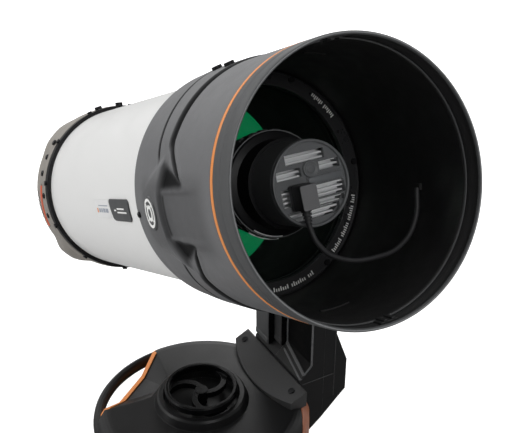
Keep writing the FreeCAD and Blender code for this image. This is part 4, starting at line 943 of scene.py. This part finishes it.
def skirt_r(s):
    """Outer radius of the moulded skirt, which stays full nearly to its rear edge."""
    return np.interp(s, (-230.0, -226.0, -190.0, -187.0), (90.6, 92.5, 92.6, 92.2))


def side_offset(phi_deg, centre):
    """Signed degrees from the nearer of the two opposite centres."""
    return (phi_deg - centre + 90) % 180 - 90


def inlay_line(d):
    """Where the coloured inlay sits along the axis, slanting round the side."""
    return INLAY_S + INLAY_SLOPE * d


def rear_skirt():
    """Moulded skirt over the rear cell with swelling lobes, vents, an inlay and dark screws; vents and inlay
    channel carry painted shade.
    """
    phi = np.linspace(0, TURN, 1080, endpoint=False)
    deg = np.degrees(phi)
    reach = lobe(deg)
    t = np.linspace(0, 1, 64)
    s = SKIRT_FRONT + (SKIRT_REAR - SKIRT_FRONT + 0 * reach[None]) * t[:, None]
    d = side_offset(deg, INLAY_CENTRES[0])
    side = (1 - smooth(INLAY_HALF_ARC, INLAY_HALF_ARC + 2.0, np.abs(d)))[None]
    fall = smooth(0.0, 0.05, t)[:, None] * (1 - smooth(0.93, 1.0, t)[:, None] ** 2)
    swell = -0.8 + 0.8 * fall + LOBE_HIGH * reach[None] * smooth(0.1, 0.5, t)[:, None] * fall
    channel = -1.0 * bump(s, inlay_line(d)[None], 4.4) * side
    rib = 0.5 * bump(s, -193.0, 2.2)
    slot_phase = np.abs((d + VENT_PITCH / 2) % VENT_PITCH - VENT_PITCH / 2)
    vents = (1 - smooth(0.7, 1.0, slot_phase)) * (np.abs(d) < VENT_HALF)
    vents = (vents[None] * smooth(VENT_REAR, VENT_REAR + 0.7, s)
             * (1 - smooth(VENT_FRONT - 0.7, VENT_FRONT, s)))
    r = skirt_r(s) + swell + channel + rib - VENT_DEEP * vents
    r = np.maximum(r, cover_r(s) + 0.3)
    s_in = s[::-1][::7]
    # Painted shade: darkens the vents and the channel round the inlay through the stored shade value.
    shade = np.vstack([np.maximum(vents, 0.5 * side * bump(s, inlay_line(d)[None], 5.0)), 0 * s_in])
    s = np.vstack([s, s_in])
    r = np.vstack([r, cover_r(s_in) + 0.06])
    p = np.repeat(phi[None], len(s), 0)
    obj = tube_skin("rear_skirt", s, r, p, REAR, slot="rear_plastic", smooth_angle=35)
    layer = obj.data.attributes.new("painted_shade", "FLOAT", "POINT")
    layer.data.foreach_set("value", np.clip(shade, 0, 1).ravel().astype(np.float32))
    for k, centre in enumerate(INLAY_CENTRES):
        obj = mesh_object("rear_inlay_%d" % k, *slanted_inlay(centre), RED_INLAY, "tube", TUBE,
                          slot="orange_plastic")
        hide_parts("rear_trim")
    for k, (s0, a) in enumerate(REAR_SCREWS):
        rear_screw("rear_screw_%d" % (2 * k), s0, a)
        rear_screw("rear_screw_%d" % (2 * k + 1), s0, a + 180)


def slanted_inlay(centre):
    """Raised strip that follows the slanted channel on one side of the skirt."""
    angles = np.linspace(-INLAY_HALF_ARC, INLAY_HALF_ARC, 25)
    verts = []
    for a in angles:
        mid = inlay_line(a)
        phi = math.radians(centre + a)
        for ds, lift in ((-3.4, -1.4), (-3.4, 0.1), (-2.6, 0.7), (2.6, 0.7), (3.4, 0.1), (3.4, -1.4)):
            r = float(skirt_r(mid + ds)) + lift
            verts.append((mid + ds, r * math.cos(phi), r * math.sin(phi)))
    return verts, capped(len(angles), 6)


REAR_HEAD = (3.2, 0.6, 1.4, 0.0, 2.0, 0.6)
HOUSING_HEAD = (2.4, 0.5, 1.0, -0.6, 1.3, 0.5)
HOUSING_SCREW_S = 134.0
HOUSING_SCREW_R = 94.4


def socket_screw(name, s, base, angle, sizes):
    """Round cap screw with a hexagon socket, standing on the tube."""
    head_r, chamfer, socket_r, foot, high, deep = sizes
    n = 24
    phi = np.linspace(0, TURN, n, endpoint=False)
    hexagon = socket_r / np.cos((phi + math.pi / 6) % (math.pi / 3) - math.pi / 6)
    full = head_r + 0 * phi
    levels = [(foot, full), (high - chamfer, full), (high, full - chamfer), (high, hexagon), (deep, hexagon)]
    verts = []
    for h, r in levels:
        verts += [(s + a * math.cos(f), base + h, a * math.sin(f)) for a, f in zip(r, phi)]
    placed(name, (verts, capped(len(levels), n)), angle, DARK_STEEL, slot="dark_steel")


def rear_screw(name, s, angle):
    """Screw standing on the skirt, whatever the swell there."""
    base = float(skirt_r(s)) - 0.5 + 4.0 * float(lobe(np.array([angle % 360.0]))[0])
    socket_screw(name, s, base, angle, REAR_HEAD)


def housing_screws():
    """One small dark screw behind each pad."""
    for k, angle in enumerate(PAD_CENTRES):
        socket_screw("housing_screw_%d" % k, HOUSING_SCREW_S, HOUSING_SCREW_R, angle, HOUSING_HEAD)


# === arm ========================================================================
STEP_LOW = 141.0
STEP_HIGH = 157.0
ARM_LOW_Y = 96.0
ARM_HIGH_Y = 112.0
RAIL_FACE = 96.5
STRIP_FACE = 104.0
RAIL_TOP = 250.0
RAIL_X = (-49.2, -20.3)
STRIP_X = (-19.7, -4.3)
RAIL_FOOT = 146.4
STRIP_FOOT = 152.4
POCKET_X = (-3.6, 49.6)
POCKET_TOP = 329.0
SEAM_TOP = 330.0
SEAM_LEVEL_Z = 136.0


def arm_face_y(z):
    """Inner face of the arm: upright, a short step outward, then upright again."""
    return np.interp(z, (STEP_LOW, STEP_HIGH), (ARM_LOW_Y, ARM_HIGH_Y))


def pilaster_y(z, face):
    """Front of an upright rib that leans back to the arm at its head."""
    head = RAIL_TOP + 2 * (ARM_HIGH_Y - face)
    return np.interp(z, (RAIL_TOP, head), (face, ARM_HIGH_Y))


def bead_floor(x):
    """Lower edge of the sunk pocket, falling towards the front of the arm."""
    return 157.0 - 0.17 * (x + 3.5)


def pocket_facing():
    """Facing with a sunk pocket and a doubled rolled bead along its foot and side; the bead is painted lighter as
    a highlight and the pocket floor darker as painted shade.
    """
    x0, x1 = POCKET_X
    x = np.linspace(x0, x1, 150)
    z = steps((STEP_LOW + 0.6, 175.0, 120), (175.0, POCKET_TOP, 60))
    zz, xx = np.meshgrid(z, x, indexing="ij")
    low = (zz - bead_floor(xx)) * 0.97
    side = np.minimum(xx + 1.2, 48.4 - xx)
    dist = np.where((side > 0) & (low > 0), np.minimum(side, low),
                    -np.hypot(np.minimum(side, 0), np.minimum(low, 0)))
    bead = bump(dist, -0.4, 1.5) + 0.8 * bump(dist, -4.6, 1.5) * smooth(-2, 4, xx)
    edge = np.minimum.reduce([xx - x0, x1 - xx, zz - STEP_LOW - 0.6, POCKET_TOP - zz])
    h = 0.5 + (0.9 * (1 - smooth(-1.5, 0.5, dist)) + 1.5 * bead) * smooth(0.0, 0.9, edge)
    face = arm_face_y(zz)
    front = np.stack([xx, face - h, zz], -1)
    back = np.stack([xx, face - 0.02 + 0 * h, zz], -1)
    obj = slab("arm_facing", front, back, MOUNT, "fork", "mount_plastic")
    obj.data.materials.append(BEAD_HIGHLIGHT)
    obj.data.materials.append(POCKET)
    # Painted highlight on the bead faces, painted shade on the sunk floor.
    lit = bead.reshape(-1) > 0.25
    sunk = dist.reshape(-1) > 0.6
    for poly in obj.data.polygons:
        here = [v % lit.size for v in poly.vertices if v < lit.size]
        if here and all(lit[v] for v in here):
            poly.material_index = 1
        elif here and all(sunk[v] for v in here):
            poly.material_index = 2


def rib(name, x0, x1, face, foot, step, material):
    """Upright rib with softened edges and a small ledge at its foot."""
    x = np.linspace(x0, x1, 40)
    z = steps((foot, foot + 20.0, 36), (foot + 20.0, 310.0, 90))
    top = RAIL_TOP + 2 * (ARM_HIGH_Y - face) - 1.5
    z = z[z < top]
    zz, xx = np.meshgrid(z, x, indexing="ij")
    edge = np.minimum.reduce([xx - x0, x1 - xx, zz - foot, top - zz])
    ledge = step * (1 - smooth(foot + 6.0, foot + 7.5, zz))
    h = 0.25 + 0.5 * smooth(0.0, 1.5, edge) + ledge * smooth(0.0, 1.2, edge)
    front = np.stack([xx, pilaster_y(zz, face) - h, zz], -1)
    back = np.stack([xx, pilaster_y(zz, face) - 0.02 + 0 * h, zz], -1)
    return slab(name, front, back, material, "fork", "mount_plastic")


def arm_details():
    """Rail, strip and pocket on the inner face of the arm."""
    pocket_facing()
    rib("arm_rail", *RAIL_X, RAIL_FACE, RAIL_FOOT, 0.9, RAIL)
    rib("arm_strip", *STRIP_X, STRIP_FACE, STRIP_FOOT, 0.6, FLANGE)
    # Light lines along the arm's seams and side edges, lighter than the arm as painted highlights.
    for k, side in enumerate((1, -1)):
        x0 = side * 49.9
        x1 = side * 50.5
        z = SEAM_LEVEL_Z
        level = [(x0, 98.5, z - 0.6), (x1, 98.8, z - 0.3), (x1, 98.8, z + 0.3), (x0, 98.5, z + 0.6)]
        run = [(x0, 141.4, z - 0.6), (x1, 141.2, z - 0.3), (x1, 141.2, z + 0.3), (x0, 141.4, z + 0.6)]
        bar("arm_seam_level_%d" % k, level, run)
        foot = [(x0, 140.2, 104.0), (x1, 140.5, 104.2), (x1, 141.1, 104.2), (x0, 141.4, 104.0)]
        head = [(x, y, SEAM_TOP) for x, y, _ in foot]
        bar("arm_seam_upright_%d" % k, foot, head)


def bar(name, start, end):
    """Thin raised line between two four-point ends, in the lighter flange plastic as a painted highlight."""
    mesh_object(name, start + end, BAR_FACES, FLANGE, "fork", None, "mount_plastic")


def slab(name, front, back, material, body, slot_name):
    """Closed sheet between two matching vertex grids."""
    rows, cols = front.shape[:2]
    verts = np.concatenate([front.reshape(-1, 3), back.reshape(-1, 3)])
    n = rows * cols
    top = grid_faces(rows, cols, False, False)
    bottom = [[i + n for i in q[::-1]] for q in top]
    loop = border(rows, cols)
    walls = [[a, b, b + n, a + n] for a, b in zip(loop, loop[1:] + loop[:1])]
    return mesh_object(name, verts, top + bottom + walls, material, body, None, slot_name, 35)


# === stage ======================================================================
ROOM_DARK = 0.12
ROOM_BRIGHT = 0.95
BRIGHT_SIDE = (-0.84, 0.30, 0.45)
BACKDROP = 1.0
FLOOR_LIFT = 0.45
MOUTH_POWER = 9.0
MOUTH_CONE = 9.0
MOUTH_PLACE = (1.6, -0.25, 0.12)
MOUTH_AIM = (0.2, 0, 0)
FLOOR_HALF = 60.0
FLOOR_SHINE = 0.22
SOFTBOXES = (
    ("key", (-0.7, -1.5, 1.6), (0, 0, 0.4), 0.8, 12),
    ("top", (-0.3, 0.3, 2.3), (0, 0, 0.4), 1.2, 9),
    ("low", (-0.6, -1.6, 0.3), (-0.1, 0, 0.4), 0.7, 3.2),
    ("front", (1.7, -0.1, 1.5), (0.2, 0, 0.45), 0.35, 6.0),
    ("back", (-1.6, 1.2, 1.2), (0, 0, 0.35), 1.0, 6),
)
CAMERA_PLACE = (0.6643, -0.2997, 0.7471)
CAMERA_LOOK = (-0.76463, 0.42980, -0.48022)
CAMERA_LENS = 58.85


def room():
    """White backdrop to the camera, and a softly graded room in reflections."""
    world = bpy.data.worlds.new("studio")
    bpy.context.scene.world = world
    world.use_nodes = True
    nodes = world.node_tree.nodes
    link = world.node_tree.links.new
    where = nodes.new("ShaderNodeTexCoord")
    facing = nodes.new("ShaderNodeVectorMath")
    facing.operation = "DOT_PRODUCT"
    facing.inputs[1].default_value = BRIGHT_SIDE
    grade = nodes.new("ShaderNodeMapRange")
    grade.interpolation_type = "SMOOTHSTEP"
    span = {"From Min": -0.35, "From Max": 0.75, "To Min": ROOM_DARK, "To Max": ROOM_BRIGHT}
    for key, value in span.items():
        grade.inputs[key].default_value = value
    seen = nodes.new("ShaderNodeLightPath")
    level = nodes.new("ShaderNodeMix")
    level.inputs["B"].default_value = BACKDROP
    link(where.outputs["Generated"], facing.inputs[0])
    link(facing.outputs["Value"], grade.inputs["Value"])
    link(seen.outputs["Is Camera Ray"], level.inputs["Factor"])
    link(grade.outputs[0], level.inputs["A"])
    link(level.outputs[0], nodes["Background"].inputs["Strength"])
    nodes["Background"].inputs["Color"].default_value = (1, 1, 1, 1)


def pale_floor():
    """Wide pale floor that brightens into the backdrop away from the object."""
    floor = bpy.data.meshes.new("floor")
    half = FLOOR_HALF
    corners = [(-half, -half, 0), (half, -half, 0), (half, half, 0), (-half, half, 0)]
    floor.from_pydata(corners, [], [(0, 1, 2, 3)])
    obj = bpy.data.objects.new("floor", floor)
    bpy.context.scene.collection.objects.link(obj)
    p = Paint("floor_paper")
    paper = p.mix(p.noise(3, 4, 0.5), rgb(0.93, 0.93, 0.93), rgb(0.95, 0.95, 0.95))
    path = p.node("ShaderNodeLightPath")
    shine = rgb(FLOOR_SHINE, FLOOR_SHINE, FLOOR_SHINE)
    p.set(Base_Color=p.mix(path.outputs["Is Glossy Ray"], paper, shine), Roughness=0.9)
    seen = path.outputs["Is Camera Ray"]
    away = p.node("ShaderNodeVectorMath", {0: p.coords}, operation="LENGTH").outputs["Value"]
    lift = p.remap(away, 0.8, 3.0, FLOOR_LIFT, 1.0)
    p.set(Emission_Color=rgb(1, 1, 1), Emission_Strength=p.math("MULTIPLY", seen, lift))
    floor.materials.append(p.material)


def lights():
    """Soft boxes round the object and a faint spot into the mouth of the tube."""
    for item in SOFTBOXES:
        softbox(*item)
    spot = bpy.data.lights.new("mouth", "SPOT")
    spot.energy = MOUTH_POWER
    spot.spot_size = math.radians(MOUTH_CONE)
    spot.spot_blend = 1.0
    spot.shadow_soft_size = 0.12
    obj = bpy.data.objects.new("mouth", spot)
    bpy.context.scene.collection.objects.link(obj)
    obj.location = TUBE @ Vector(MOUTH_PLACE)
    obj.rotation_euler = (TUBE @ Vector(MOUTH_AIM) - obj.location).to_track_quat("-Z", "Y").to_euler()
    bpy.context.scene.view_settings.view_transform = "Standard"


def softbox(name, place, target, size, power):
    """Square area light aimed at a point."""
    lamp = bpy.data.lights.new(name, "AREA")
    lamp.shape = "SQUARE"
    lamp.size = size
    lamp.energy = power
    obj = bpy.data.objects.new(name, lamp)
    bpy.context.scene.collection.objects.link(obj)
    obj.location = place
    obj.rotation_euler = (Vector(target) - Vector(place)).to_track_quat("-Z", "Y").to_euler()


def camera():
    """View from in front, above and to the camera side of the tube."""
    data = bpy.data.cameras.new("camera")
    data.sensor_width = 36.0
    data.lens = CAMERA_LENS
    obj = bpy.data.objects.new("camera", data)
    bpy.context.scene.collection.objects.link(obj)
    look = Vector(CAMERA_LOOK).normalized()
    right = look.cross(Vector((0, 0, 1))).normalized()
    up = right.cross(look)
    obj.matrix_world = Matrix((right, up, -look)).transposed().to_4x4()
    obj.location = CAMERA_PLACE
    bpy.context.scene.camera = obj


# === build ======================================================================
dress_nodes()
front_housing()
front_rim()
liner()
inner_sleeves()
ring_marks()
cap_details()
lock_grip()
shoulder_details()
root_patch()
plug_and_cord()
pad_badge()
tube_badge()
tube_label()
rear_skirt()
housing_screws()
arm_details()
frame["nodes"]["arm_flange"].data.materials[0] = FLANGE
frame["nodes"]["corrector_ring"].data.materials[0] = RING_FACE
camera()
room()
pale_floor()
lights()
